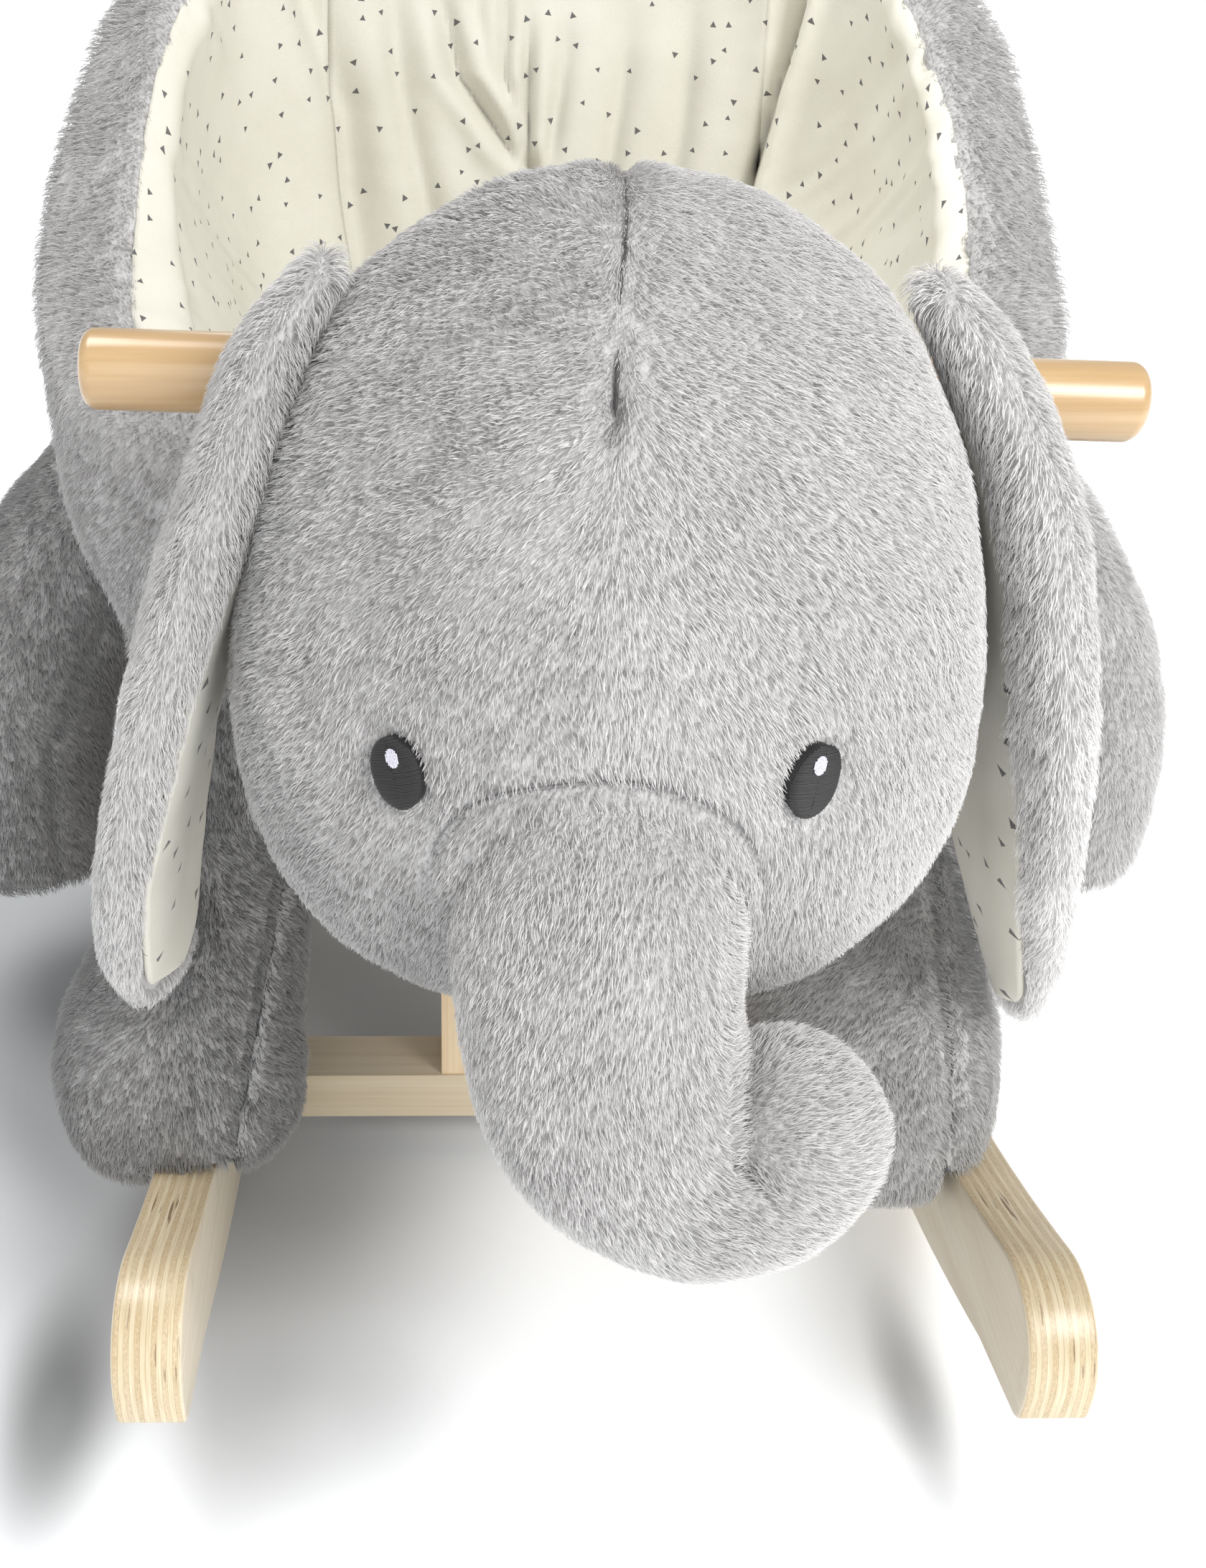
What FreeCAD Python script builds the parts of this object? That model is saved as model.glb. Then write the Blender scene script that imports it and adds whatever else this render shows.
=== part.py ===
import FreeCAD, Part
import math
import os
import Sketcher

# Plush rocking elephant: a birch-ply rocker frame with a padded bucket seat,
# a stuffed head with trunk and ears, four stuffed legs and a tail.
# Millimetres, +Z up, the elephant looks along -Y.  Origin: on the floor,
# in the middle of the two lines on which the rockers rest.
# "right" and "left" are the rider's: right is -X, left is +X.

V = FreeCAD.Vector
doc = FreeCAD.newDocument("RockingElephant")

# ------------------------------------------------------------------ driving sizes
sheet = doc.addObject("Spreadsheet::Sheet", "Sizes")
SIZES = [
    ("ply", 25.0), ("spread", 345.0), ("rockRadius", 770.0), ("railHeight", 47.0),
    ("tipReach", 316.0), ("noseRadius", 32.0), ("kinkReach", 274.0), ("cornerRadius", 6.0),
    ("cornerHeight", 59.0),
    ("barWidth", 26.0), ("barHeight", 26.0), ("barTop", 50.0), ("barReach", 119.0),
    ("boltRadius", 3.0), ("boltHoleRadius", 3.3), ("boltHeadRadius", 7.0), ("boreHeadRadius", 7.6),
    ("boreHeadDepth", 5.0), ("boltLength", 62.0), ("nutRadius", 5.0), ("nutLength", 16.0),
    ("dowelPinRadius", 4.0), ("dowelPinLength", 40.0),
    ("postWidth", 114.0), ("postThick", 24.0),
    ("baseLow", 205.0), ("baseThick", 12.0), ("baseHalfWidth", 142.0), ("baseFront", -126.0), ("baseRear", 152.0),
    ("wallThick", 9.0), ("backThick", 12.0), ("sideBoardX", 142.0), ("backBoardY", 140.0), ("backBoardTop", 386.0), ("backBoardHalf", 86.0),
    ("handleRadius", 12.5), ("handleLength", 336.0), ("handleY", -168.0), ("handleZ", 386.0), ("handleTilt", 2.0),
    ("handleFit", 0.05), ("neckHalfWidth", 32.0),
    ("tubHalfWidth", 211.0), ("tubFront", -132.0), ("tubRear", 205.0), ("tubLow", 186.0), ("tubTop", 505.0),
    ("furThick", 5.0), ("liningThick", 2.0), ("cushionTop", 262.0),
    ("plushShift", -11.0),
    ("headX", -6.0), ("headY", -218.0), ("headZ", 318.0), ("headHalfWidth", 115.0), ("headFrontDepth", 98.0),
    ("headBackDepth", 97.0), ("headUp", 137.0), ("headDown", 122.0), ("headCover", 4.0), ("headPadding", 9.5),
    ("trunkRadius", 43.0), ("earThick", 24.0), ("earLining", 3.0),
    ("frontLegRadius", 52.0), ("hindLegRadius", 43.0), ("tailRadius", 11.0), ("tailLength", 120.0),
    ("screwRadius", 2.2), ("screwHeadRadius", 4.2), ("screwLength", 40.0),
]
for i, (name, value) in enumerate(SIZES):
    cell = "B%d" % (i + 1)
    sheet.set("A%d" % (i + 1), name)
    sheet.set(cell, "%g" % value)
    sheet.setAlias(cell, name)
doc.recompute()


def S(name):
    return float(getattr(sheet, name))


def E(text):
    return text.replace("$", "Sizes.")


NODES = []


def node(obj, label):
    obj.Label = label
    NODES.append(obj)
    return obj


def plane(body, role):
    for feature in body.Origin.OriginFeatures:
        if feature.Role == role:
            return feature
    raise RuntimeError("no plane " + role)


def sketch_on(body, role, name):
    sk = body.newObject("Sketcher::SketchObject", name)
    sk.AttachmentSupport = (plane(body, role), [""])
    sk.MapMode = "FlatFace"
    return sk


def polygon(sk, pts):
    n = len(pts)
    ids = []
    for k in range(n):
        a, b = pts[k], pts[(k + 1) % n]
        ids.append(sk.addGeometry(Part.LineSegment(V(a[0], a[1], 0), V(b[0], b[1], 0)), False))
    for k in range(n):
        sk.addConstraint(Sketcher.Constraint("Coincident", ids[k], 2, ids[(k + 1) % n], 1))
    return ids


def feature(label, shape):
    # a sub-part whose shape is made with Part's own functions from the sheet's sizes
    obj = doc.addObject("Part::Feature", label.title().replace("_", ""))
    obj.Shape = shape
    obj.Placement = FreeCAD.Placement(V(0, 0, 0), FreeCAD.Rotation())
    return node(obj, label)


def cylinder(radius, length, base, direction):
    return Part.makeCylinder(radius, length, V(*base), V(*direction))


# ------------------------------------------------------------------ rockers
R, H = S("rockRadius"), S("railHeight")
LT, RN = S("tipReach"), S("noseRadius")


def rail_bottom(y):
    return R - math.sqrt(R * R - y * y)


def rail_top(y):
    q = R - H
    return R - math.sqrt(q * q - y * y)


def rocker_outline():
    """Front half and rear half of one ply rocker, as edges in the YZ plane."""
    c = V(0, R, 0)
    q = R - H
    kink, corner, rc = S("kinkReach"), S("cornerHeight"), S("cornerRadius")
    ny = LT - RN
    nz = R - math.sqrt((q + RN) ** 2 - ny * ny)
    ty, tz = ny + RN * (-ny) / (q + RN), nz + RN * (R - nz) / (q + RN)
    kz = rail_bottom(kink)
    # corner between the foot line and the front face
    dy, dz = LT - kink, corner - kz
    length = math.hypot(dy, dz)
    uy, uz = dy / length, dz / length
    half = (math.pi / 2 - math.atan2(uz, uy)) / 2.0
    back = rc * math.tan(half)
    edges = []
    edges.append(Part.Arc(V(-kink, kz, 0), V(0, 0, 0), V(kink, kz, 0)))
    for sgn in (1, -1):
        a = V(sgn * kink, kz, 0)
        b = V(sgn * (LT - back * uy), corner - back * uz, 0)
        d = V(sgn * LT, corner + back, 0)
        centre = V(sgn * (LT - rc), corner + back, 0)
        bis = (a.multiply(0) + V(sgn * LT, corner, 0) - centre)
        m = centre + bis.multiply(rc / bis.Length)
        n0 = V(sgn * LT, nz, 0)
        n1 = V(sgn * ty, tz, 0)
        nc = V(sgn * ny, nz, 0)
        mid = (n0 + n1).multiply(0.5) - nc
        nm = nc + mid.multiply(RN / mid.Length)
        a = V(sgn * kink, kz, 0)
        edges += [Part.LineSegment(a, b), Part.Arc(b, m, d), Part.LineSegment(d, n0), Part.Arc(n0, nm, n1)]
    edges.append(Part.Arc(V(-ty, tz, 0), V(0, H, 0), V(ty, tz, 0)))
    return edges


def make_rocker(label, side):
    body = doc.addObject("PartDesign::Body", label.title().replace("_", ""))
    sk = sketch_on(body, "YZ_Plane", label + "_outline")
    geo = rocker_outline()
    for g in geo:
        sk.addGeometry(g, False)
    sk.addConstraint(Sketcher.Constraint("Block", 0))
    doc.recompute()
    pad = body.newObject("PartDesign::Pad", label + "_pad")
    pad.Profile = sk
    pad.setExpression("Length", E("$ply"))
    pad.Reversed = side < 0
    doc.recompute()
    holes = sketch_on(body, "YZ_Plane", label + "_bolt_holes")
    bore = sketch_on(body, "YZ_Plane", label + "_head_bores")
    pins = sketch_on(body, "YZ_Plane", label + "_dowel_holes")
    zc = S("barTop") - S("barHeight") / 2
    for k in (-1, 1):
        holes.addGeometry(Part.Circle(V(k * S("barReach"), zc, 0), V(0, 0, 1), S("boltHoleRadius")), False)
        bore.addGeometry(Part.Circle(V(k * S("barReach"), zc, 0), V(0, 0, 1), S("boreHeadRadius")), False)
        pins.addGeometry(Part.Circle(V(k * (S("barReach") + 8), zc + 7, 0), V(0, 0, 1), S("dowelPinRadius")), False)
    for sk2, expr in ((holes, "$boltHoleRadius"), (bore, "$boreHeadRadius"), (pins, "$dowelPinRadius")):
        for g in (0, 1):
            c = sk2.addConstraint(Sketcher.Constraint("Radius", g, 1.0 * sk2.Geometry[g].Radius))
            sk2.setExpression("Constraints[%d]" % c, E(expr))
    doc.recompute()
    cut = body.newObject("PartDesign::Pocket", label + "_bolt_cut")
    cut.Profile = holes
    cut.Type = 1
    cut.Midplane = True
    doc.recompute()
    # the pad starts at the rail's inner face, so the dowel holes go in from there
    pcut = body.newObject("PartDesign::Pocket", label + "_dowel_cut")
    pcut.Profile = pins
    pcut.setExpression("Length", E("$dowelPinLength / 2 - 5"))
    pcut.Reversed = side > 0
    doc.recompute()
    bore.AttachmentOffset = FreeCAD.Placement(V(0, 0, side * S("ply")), FreeCAD.Rotation())
    bore.setExpression("AttachmentOffset.Base.z", E("%d * $ply" % side))
    doc.recompute()
    hcut = body.newObject("PartDesign::Pocket", label + "_head_cut")
    hcut.Profile = bore
    hcut.setExpression("Length", E("$boreHeadDepth"))
    hcut.Reversed = side < 0
    doc.recompute()
    body.setExpression("Placement.Base.x", E("%d * ($spread / 2 - $ply)" % side))
    doc.recompute()
    return node(body, label)


rocker_right = make_rocker("rocker_right", -1)
rocker_left = make_rocker("rocker_left", 1)

# ------------------------------------------------------------------ crossbars
inner = S("spread") / 2 - S("ply")


def make_bar(label, sgn):
    bar = doc.addObject("Part::Box", label + "_bar")
    bar.setExpression("Length", E("$spread - 2 * $ply"))
    bar.setExpression("Width", E("$barWidth"))
    bar.setExpression("Height", E("$barHeight"))
    bar.setExpression("Placement.Base.x", E("-($spread / 2 - $ply)"))
    bar.setExpression("Placement.Base.y", E("%d * $barReach - $barWidth / 2" % sgn))
    bar.setExpression("Placement.Base.z", E("$barTop - $barHeight"))
    tools = []
    for side in (-1, 1):
        t = doc.addObject("Part::Cylinder", label + "_bolt_hole")
        t.setExpression("Radius", E("$boltHoleRadius"))
        t.setExpression("Height", E("$boltLength - ($ply - $boreHeadDepth) + 2"))
        t.Placement = FreeCAD.Placement(V(side * inner, sgn * S("barReach"), S("barTop") - S("barHeight") / 2),
                                        FreeCAD.Rotation(V(0, 0, 1), V(-side, 0, 0)))
        tools.append(t)
        p = doc.addObject("Part::Cylinder", label + "_dowel_hole")
        p.setExpression("Radius", E("$dowelPinRadius"))
        p.setExpression("Height", E("$dowelPinLength / 2 + 5"))
        p.Placement = FreeCAD.Placement(V(side * inner, sgn * (S("barReach") + 8), S("barTop") - S("barHeight") / 2 + 7),
                                        FreeCAD.Rotation(V(0, 0, 1), V(-side, 0, 0)))
        tools.append(p)
        b = doc.addObject("Part::Cylinder", label + "_nut_hole")
        b.setExpression("Radius", E("$nutRadius + 0.1"))
        b.setExpression("Height", E("$barHeight / 2 + $nutLength / 2 + 1"))
        b.Placement = FreeCAD.Placement(V(side * (inner - 32), sgn * S("barReach"), S("barTop") - S("barHeight") - 0.5),
                                        FreeCAD.Rotation())
        tools.append(b)
    shape = bar
    for k, t in enumerate(tools):
        c = doc.addObject("Part::Cut", "%s_cut%d" % (label, k))
        c.Base = shape
        c.Tool = t
        shape = c
    doc.recompute()
    return node(shape, label)


front_crossbar = make_bar("front_crossbar", -1)
rear_crossbar = make_bar("rear_crossbar", 1)

zc = S("barTop") - S("barHeight") / 2
bolts, nuts, pins = [], [], []
for side in (-1, 1):
    for sgn in (-1, 1):
        x0 = side * (S("spread") / 2 - S("boreHeadDepth"))
        shank = cylinder(S("boltRadius"), S("boltLength"), (x0, sgn * S("barReach"), zc), (-side, 0, 0))
        head = cylinder(S("boltHeadRadius"), 3.2, (x0, sgn * S("barReach"), zc), (side, 0, 0))
        hexa = Part.Face(Part.makePolygon([V(x0 + side * 1.2, sgn * S("barReach") + 2.3 * math.cos(math.radians(60 * k)),
                                             zc + 2.3 * math.sin(math.radians(60 * k))) for k in range(7)]))
        bolts.append(shank.fuse(head).removeSplitter().cut(hexa.extrude(V(side * 3, 0, 0))))
        nb = cylinder(S("nutRadius"), S("nutLength"), (side * (inner - 32), sgn * S("barReach"), zc - S("nutLength") / 2), (0, 0, 1))
        nuts.append(nb.cut(cylinder(S("boltRadius"), 40, (side * inner, sgn * S("barReach"), zc), (-side, 0, 0))))
        pins.append(cylinder(S("dowelPinRadius") - 0.05, S("dowelPinLength") - 1,
                             (side * (inner + 14.5), sgn * (S("barReach") + 8), zc + 7), (-side, 0, 0)))
feature("crossbar_bolts", Part.Compound(bolts))
feature("crossbar_barrel_nuts", Part.Compound(nuts))
feature("crossbar_dowels", Part.Compound(pins))


# ------------------------------------------------------------------ posts and seat boards
def make_box(label, lx, ly, lz, px, py, pz):
    b = doc.addObject("Part::Box", label.title().replace("_", ""))
    b.setExpression("Length", E(lx))
    b.setExpression("Width", E(ly))
    b.setExpression("Height", E(lz))
    b.setExpression("Placement.Base.x", E(px))
    b.setExpression("Placement.Base.y", E(py))
    b.setExpression("Placement.Base.z", E(pz))
    doc.recompute()
    return b


front_post = node(make_box("front_post", "$postWidth", "$postThick", "$baseLow - $barTop", "-$postWidth / 2",
                           "-$barReach - $barWidth / 2 + 1", "$barTop"), "front_post")
rear_post = node(make_box("rear_post", "$postWidth", "$postThick", "$baseLow - $barTop", "-$postWidth / 2",
                          "$barReach + $barWidth / 2 - 1 - $postThick", "$barTop"), "rear_post")

# seat base: a ply board, cut back at the corners and rounded
body = doc.addObject("PartDesign::Body", "SeatBaseBoard")
sk = sketch_on(body, "XY_Plane", "base_outline")
bw, bf, br = S("baseHalfWidth"), S("baseFront"), S("baseRear")
outline = [(-55, bf), (55, bf), (64, -80), (110, -50), (bw, -12), (bw, 95), (86, br), (-86, br), (-bw, 95), (-bw, -12), (-110, -50), (-64, -80)]
polygon(sk, outline)
sk.addConstraint(Sketcher.Constraint("Horizontal", 0))
sk.addConstraint(Sketcher.Constraint("Horizontal", 6))
sk.addConstraint(Sketcher.Constraint("Vertical", 4))
sk.addConstraint(Sketcher.Constraint("Vertical", 8))
for k in (1, 2, 3, 5, 7, 9, 10, 11):
    sk.addConstraint(Sketcher.Constraint("DistanceY", -1, 1, k, 1, outline[k][1]))
for c, e in ((Sketcher.Constraint("DistanceX", -1, 1, 4, 1, bw), "$baseHalfWidth"),
             (Sketcher.Constraint("DistanceX", 8, 1, -1, 1, bw), "$baseHalfWidth")):
    k = sk.addConstraint(c)
    sk.setExpression("Constraints[%d]" % k, E(e))
doc.recompute()
pad = body.newObject("PartDesign::Pad", "base_pad")
pad.Profile = sk
pad.setExpression("Length", E("$baseThick"))
body.setExpression("Placement.Base.z", E("$baseLow"))
doc.recompute()
fil = body.newObject("PartDesign::Fillet", "base_corners")
upright = ["Edge%d" % (i + 1) for i, e in enumerate(pad.Shape.Edges)
           if abs(e.tangentAt(e.FirstParameter).z) > 0.99]
fil.Base = (pad, upright)
fil.Radius = 8.0
doc.recompute()
seat_base = node(body, "seat_base_board")


def make_side(label, side):
    body = doc.addObject("PartDesign::Body", label.title().replace("_", ""))
    sk = sketch_on(body, "YZ_Plane", label + "_outline")
    z0 = S("baseLow") + S("baseThick")
    polygon(sk, [(-6, z0), (88, z0), (88, 300), (70, 306), (16, 304), (-6, 286)])
    doc.recompute()
    pad = body.newObject("PartDesign::Pad", label + "_pad")
    pad.Profile = sk
    pad.setExpression("Length", E("$wallThick"))
    pad.Reversed = side > 0
    body.setExpression("Placement.Base.x", E("%d * $sideBoardX" % side))
    doc.recompute()
    return node(body, label)


side_right = make_side("side_board_right", -1)
side_left = make_side("side_board_left", 1)

body = doc.addObject("PartDesign::Body", "BackBoard")
sk = sketch_on(body, "XZ_Plane", "back_outline")
z0, zt, hw = S("baseLow") + S("baseThick"), S("backBoardTop"), S("backBoardHalf")
polygon(sk, [(-hw, z0), (hw, z0), (hw, zt - 40), (hw - 40, zt), (-hw + 40, zt), (-hw, zt - 40)])
doc.recompute()
pad = body.newObject("PartDesign::Pad", "back_pad")
pad.Profile = sk
pad.setExpression("Length", E("$backThick"))
body.setExpression("Placement.Base.y", E("$backBoardY + $backThick"))
doc.recompute()
back_board = node(body, "back_board")
print("back board y", back_board.Shape.BoundBox.YMin, back_board.Shape.BoundBox.YMax)

# neck block: solid wood on the base board, leaning forward, with the handle's bore
body = doc.addObject("PartDesign::Body", "NeckBlockBody")
sk = sketch_on(body, "YZ_Plane", "neck_outline")
hy, hz = S("handleY"), S("handleZ")
polygon(sk, [(-56, z0), (-100, z0), (hy - 22, hz - 44), (hy - 22, hz + 6), (hy - 12, hz + 20), (hy + 8, hz + 20), (hy + 20, hz + 6), (hy + 20, hz - 30)])
doc.recompute()
pad = body.newObject("PartDesign::Pad", "neck_pad")
pad.Profile = sk
pad.Midplane = True
pad.setExpression("Length", E("2 * $neckHalfWidth"))
doc.recompute()
tool = doc.addObject("Part::Cylinder", "neck_bore_tool")
tool.setExpression("Radius", E("$handleRadius + $handleFit"))
tool.Height = 200
tilt = S("handleTilt")
rot = FreeCAD.Rotation(V(0, 0, 1), V(math.cos(math.radians(tilt)), 0, -math.sin(math.radians(tilt))))
tool.Placement = FreeCAD.Placement(V(0, hy, hz) - rot.multVec(V(0, 0, 100)), rot)
neck = doc.addObject("Part::Cut", "NeckBlock")
neck.Base = body
neck.Tool = tool
doc.recompute()
node(neck, "neck_block")

# handle: one dowel with rounded ends, a little out of level as the head leans
dowel = doc.addObject("Part::Cylinder", "HandleDowel")
dowel.setExpression("Radius", E("$handleRadius"))
dowel.setExpression("Height", E("$handleLength"))
dowel.Placement = FreeCAD.Placement(V(0, hy, hz) - rot.multVec(V(0, 0, S("handleLength") / 2)), rot)
doc.recompute()
handle = doc.addObject("Part::Fillet", "Handle")
handle.Base = dowel
handle.Edges = [(i + 1, 4.0, 4.0) for i, e in enumerate(dowel.Shape.Edges) if e.Curve.TypeId == "Part::GeomCircle"]
doc.recompute()
node(handle, "handle")


# ------------------------------------------------------------------ screws
def screw(tip, direction, length, radius=None, head=None):
    radius = radius or S("screwRadius")
    head = head or S("screwHeadRadius")
    d = V(*direction)
    d.normalize()
    base = V(*tip) - d * length
    shank = Part.makeCylinder(radius, length - 4, base, d)
    point = Part.makeCone(radius, 0.4, 4, base + d * (length - 4), d)
    cap = Part.makeCone(head, radius, head - radius + 0.6, base, d)
    return shank.fuse([point, cap]).removeSplitter()


zb = S("baseLow") + S("baseThick")
post_y = [-S("barReach") - S("barWidth") / 2 + 1 + S("postThick") / 2, S("barReach") + S("barWidth") / 2 - 1 - S("postThick") / 2]
feature("post_screws", Part.Compound([screw((x, y, S("barTop") + 40), (0, 0, 1), 66) for x in (-36, 36) for y in post_y]))
feature("base_screws", Part.Compound([screw((x, y, S("baseLow") - 28), (0, 0, -1), 40)
                                      for x, y in ((-44, post_y[1]), (0, post_y[1]), (44, post_y[1]), (-40, post_y[0] + 4), (40, post_y[0] + 4))]))
feature("wall_screws", Part.Compound(
    [screw((sx * (S("sideBoardX") - 4.5), y, zb + 28), (0, 0, 1), 40, 1.8, 3.4) for sx in (-1, 1) for y in (12, 70)]
    + [screw((x, S("backBoardY") + S("backThick") / 2, zb + 28), (0, 0, 1), 40, 1.8, 3.4) for x in (-66, 0, 66)]))
feature("neck_screws", Part.Compound([screw((x, y, zb + 26), (0, 0, 1), 38) for x in (-20, 20) for y in (-95, -82)]))
feature("handle_screw", screw((0, hy - 12, hz), (0, -1, 0), 32))


# ------------------------------------------------------------------ soft parts: helpers
def closed_wire(pts):
    c = Part.BSplineCurve()
    c.interpolate(Points=[V(*p) for p in pts], PeriodicFlag=True)
    return Part.Wire([c.toShape()])


def sgnpow(v, e):
    return math.copysign(abs(v) ** e, v)


def plan(cx, a, yf, yr, z, n, slope=0.0, count=24):
    """Superellipse section from front yf to rear yr, half width a, at height z."""
    cy, b = (yf + yr) / 2, (yr - yf) / 2
    pts = []
    for k in range(count):
        t = 2 * math.pi * k / count
        pts.append((cx + a * sgnpow(math.cos(t), 2.0 / n), cy + b * sgnpow(math.sin(t), 2.0 / n), z))
    return closed_wire(pts)


def loft(wires):
    s = Part.makeLoft(wires, True, False)
    if s.Volume < 0:
        s.reverse()
    if not s.isValid() or s.ShapeType != "Solid":
        s = Part.Solid(s.Shells[0])
    return s


def tube(points, radii, squash=None, count=16):
    """Stuffed tube through points, round or oval sections square to the path."""
    wires = []
    n = len(points)
    for k in range(n):
        p = V(*points[k])
        a = V(*points[max(k - 1, 0)])
        b = V(*points[min(k + 1, n - 1)])
        d = (b - a).normalize()
        up = V(0, 1, 0) if abs(d.z) > 0.7 else V(0, 0, 1)
        u = up.cross(d).normalize()
        w = d.cross(u).normalize()
        r = radii[k]
        ru, rw = (r, r) if not isinstance(r, tuple) else r
        wires.append(closed_wire([tuple(p + u * (ru * math.cos(2 * math.pi * i / count)) + w * (rw * math.sin(2 * math.pi * i / count)))
                                  for i in range(count)]))
    return loft(wires)


def box(x0, x1, y0, y1, z0, z1):
    return Part.makeBox(x1 - x0, y1 - y0, z1 - z0, V(x0, y0, z0))


def cut_all(shape, tools):
    for t in tools:
        shape = shape.cut(t)
    return shape


def biggest(shape):
    if len(shape.Solids) == 1:
        return shape.Solids[0]
    return sorted(shape.Solids, key=lambda s: s.Volume)[-1]


# ------------------------------------------------------------------ bucket: outer form, cavity, rim
PX = S("plushShift")
TW, TF, TR = S("tubHalfWidth"), S("tubFront"), S("tubRear")


def tub(off, low):
    secs = [(S("tubLow"), 0.62, -108, 150, 2.3), (200, 0.80, -134, 178, 2.6), (232, 0.915, -140, 196, 2.8),
            (285, 0.99, TF - 2, TR - 2, 3.0), (340, 1.0, TF, TR, 3.0), (400, 0.99, TF + 3, TR + 1, 3.0),
            (450, 0.917, TF + 10, TR - 2, 2.8), (505, 0.815, TF + 22, TR - 8, 2.6), (540, 0.73, TF + 40, TR - 16, 2.5)]
    wires = []
    for z, f, yf, yr, n in secs:
        zz = z if z > S("tubLow") + 1 else z + low
        wires.append(plan(PX, TW * f - off, yf + off, yr - off, zz, n))
    return loft(wires)


def cavity(off):
    ct = S("cushionTop")
    secs = [(ct - off, 92, -84, 88, 2.6), (ct + 28, 108, -94, 104, 2.8), (330, 132, -100, 122, 3.0), (380, 152, -103, 134, 3.0),
            (440, 150, -104, 146, 2.8), (505, 134, -100, 160, 2.6), (545, 124, -96, 170, 2.5)]
    return loft([plan(PX, a + off, yf - off, yr + off, z, n) for z, a, yf, yr, n in secs])


RIM = [(-190, 262), (-150, 292), (-118, 330), (-80, 356), (-40, 373), (0, 396), (40, 431), (80, 466), (120, 488), (160, 499), (215, 500), (260, 498)]


def rim_tool(drop):
    """Everything above the rim line, as a solid swept across X."""
    c = Part.BSplineCurve()
    c.interpolate([V(-300, y, z - drop) for y, z in RIM])
    e = [c.toShape(), Part.makeLine(V(-300, RIM[-1][0], RIM[-1][1] - drop), V(-300, RIM[-1][0], 620)),
         Part.makeLine(V(-300, RIM[-1][0], 620), V(-300, RIM[0][0], 620)),
         Part.makeLine(V(-300, RIM[0][0], 620), V(-300, RIM[0][0], RIM[0][1] - drop))]
    return Part.Face(Part.Wire(e)).extrude(V(600, 0, 0))


above = rim_tool(0.0)
above_in = rim_tool(S("furThick"))
o0, o1 = tub(0.0, 0.0), tub(S("furThick"), S("furThick"))
c0, c1 = cavity(0.0), cavity(S("liningThick"))
cmid = cavity(26.0)
print("tub solids", o0.isValid(), o1.isValid(), c0.isValid(), c1.isValid(), round(o0.Volume / 1e6, 2), round(c0.Volume / 1e6, 2))

neck_tool = neck.Shape
neck_hull = body.Shape
posts = [front_post.Shape, rear_post.Shape]
boards = [seat_base.Shape, side_right.Shape, side_left.Shape, back_board.Shape]

# head form first, because the chest gives way to it
HX, HY, HZ = S("headX"), S("headY"), S("headZ")


def head_form(off):
    a, bf, bb, up, dn = (S("headHalfWidth") - off, S("headFrontDepth") - off, S("headBackDepth") - off,
                         S("headUp") - off, S("headDown") - off)
    wires = []
    for s, f, shy, n in ((-0.99, 0.27, 5, 2.1), (-0.9, 0.533, 4, 2.15), (-0.7, 0.763, 3, 2.2), (-0.42, 0.935, 1, 2.25), (-0.1, 0.998, 0, 2.25),
                         (0.22, 0.958, 1, 2.25), (0.48, 0.875, 5, 2.25), (0.70, 0.738, 10, 2.25), (0.84, 0.583, 14, 2.25), (0.93, 0.413, 17, 2.2), (0.99, 0.20, 19, 2.1)):
        z = HZ + (up if s > 0 else dn) * s
        pts = []
        for k in range(24):
            t = 2 * math.pi * k / 24
            b = bb if math.sin(t) > 0 else bf
            pts.append((HX + a * f * sgnpow(math.cos(t), 2.0 / n), HY + shy + b * f * sgnpow(math.sin(t), 2.0 / n), z))
        wires.append(closed_wire(pts))
    return loft(wires)


h0, h1 = head_form(0.0), head_form(S("headCover"))
print("head", h0.isValid(), h1.isValid(), round(h0.Volume / 1e6, 2))
head_gap = head_form(-0.4)

lean_hole = cylinder(S("handleRadius") + 0.6, 420, tuple(V(0, hy, hz) - rot.multVec(V(0, 0, 210))), tuple(rot.multVec(V(0, 0, 1))))

skin = o0.cut(o1).cut(above)
rim_band = o0.cut(cmid).cut(above).common(above_in)
cover = skin.fuse(rim_band).removeSplitter()
cover = cut_all(cover, posts + [neck_hull, head_gap] + [seat_base.Shape])
padding = o1.cut(c1).cut(above_in)
padding = cut_all(padding, [head_gap, neck_hull] + posts + boards)
top_gap = o1.cut(o1.common(cmid)).common(above_in)
lining = c1.cut(c0).cut(above)
lining = lining.cut(head_gap).cut(neck_hull)
inner_rim = cmid.cut(c1).cut(above).common(above_in)

big = 900
pieces = {}
ymid_f, ymid_r = -70, 128
xr, xl = PX - 118, PX + 118
# fur panels
panels = {
    "belly_cover": box(-big, big, -big, big, 0, 214),
    "chest_cover": box(xr, xl, -big, ymid_f, 214, big),
    "rump_cover": box(xr, xl, ymid_r, big, 214, big),
    "flank_cover_right": box(-big, PX, -big, big, 214, big),
    "flank_cover_left": box(PX, big, -big, big, 214, big),
}
chest_box, rump_box = panels["chest_cover"], panels["rump_cover"]
for name, b in panels.items():
    s = cover.common(b)
    if name.startswith("flank"):
        s = s.cut(chest_box).cut(rump_box)
    pieces[name] = s
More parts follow.
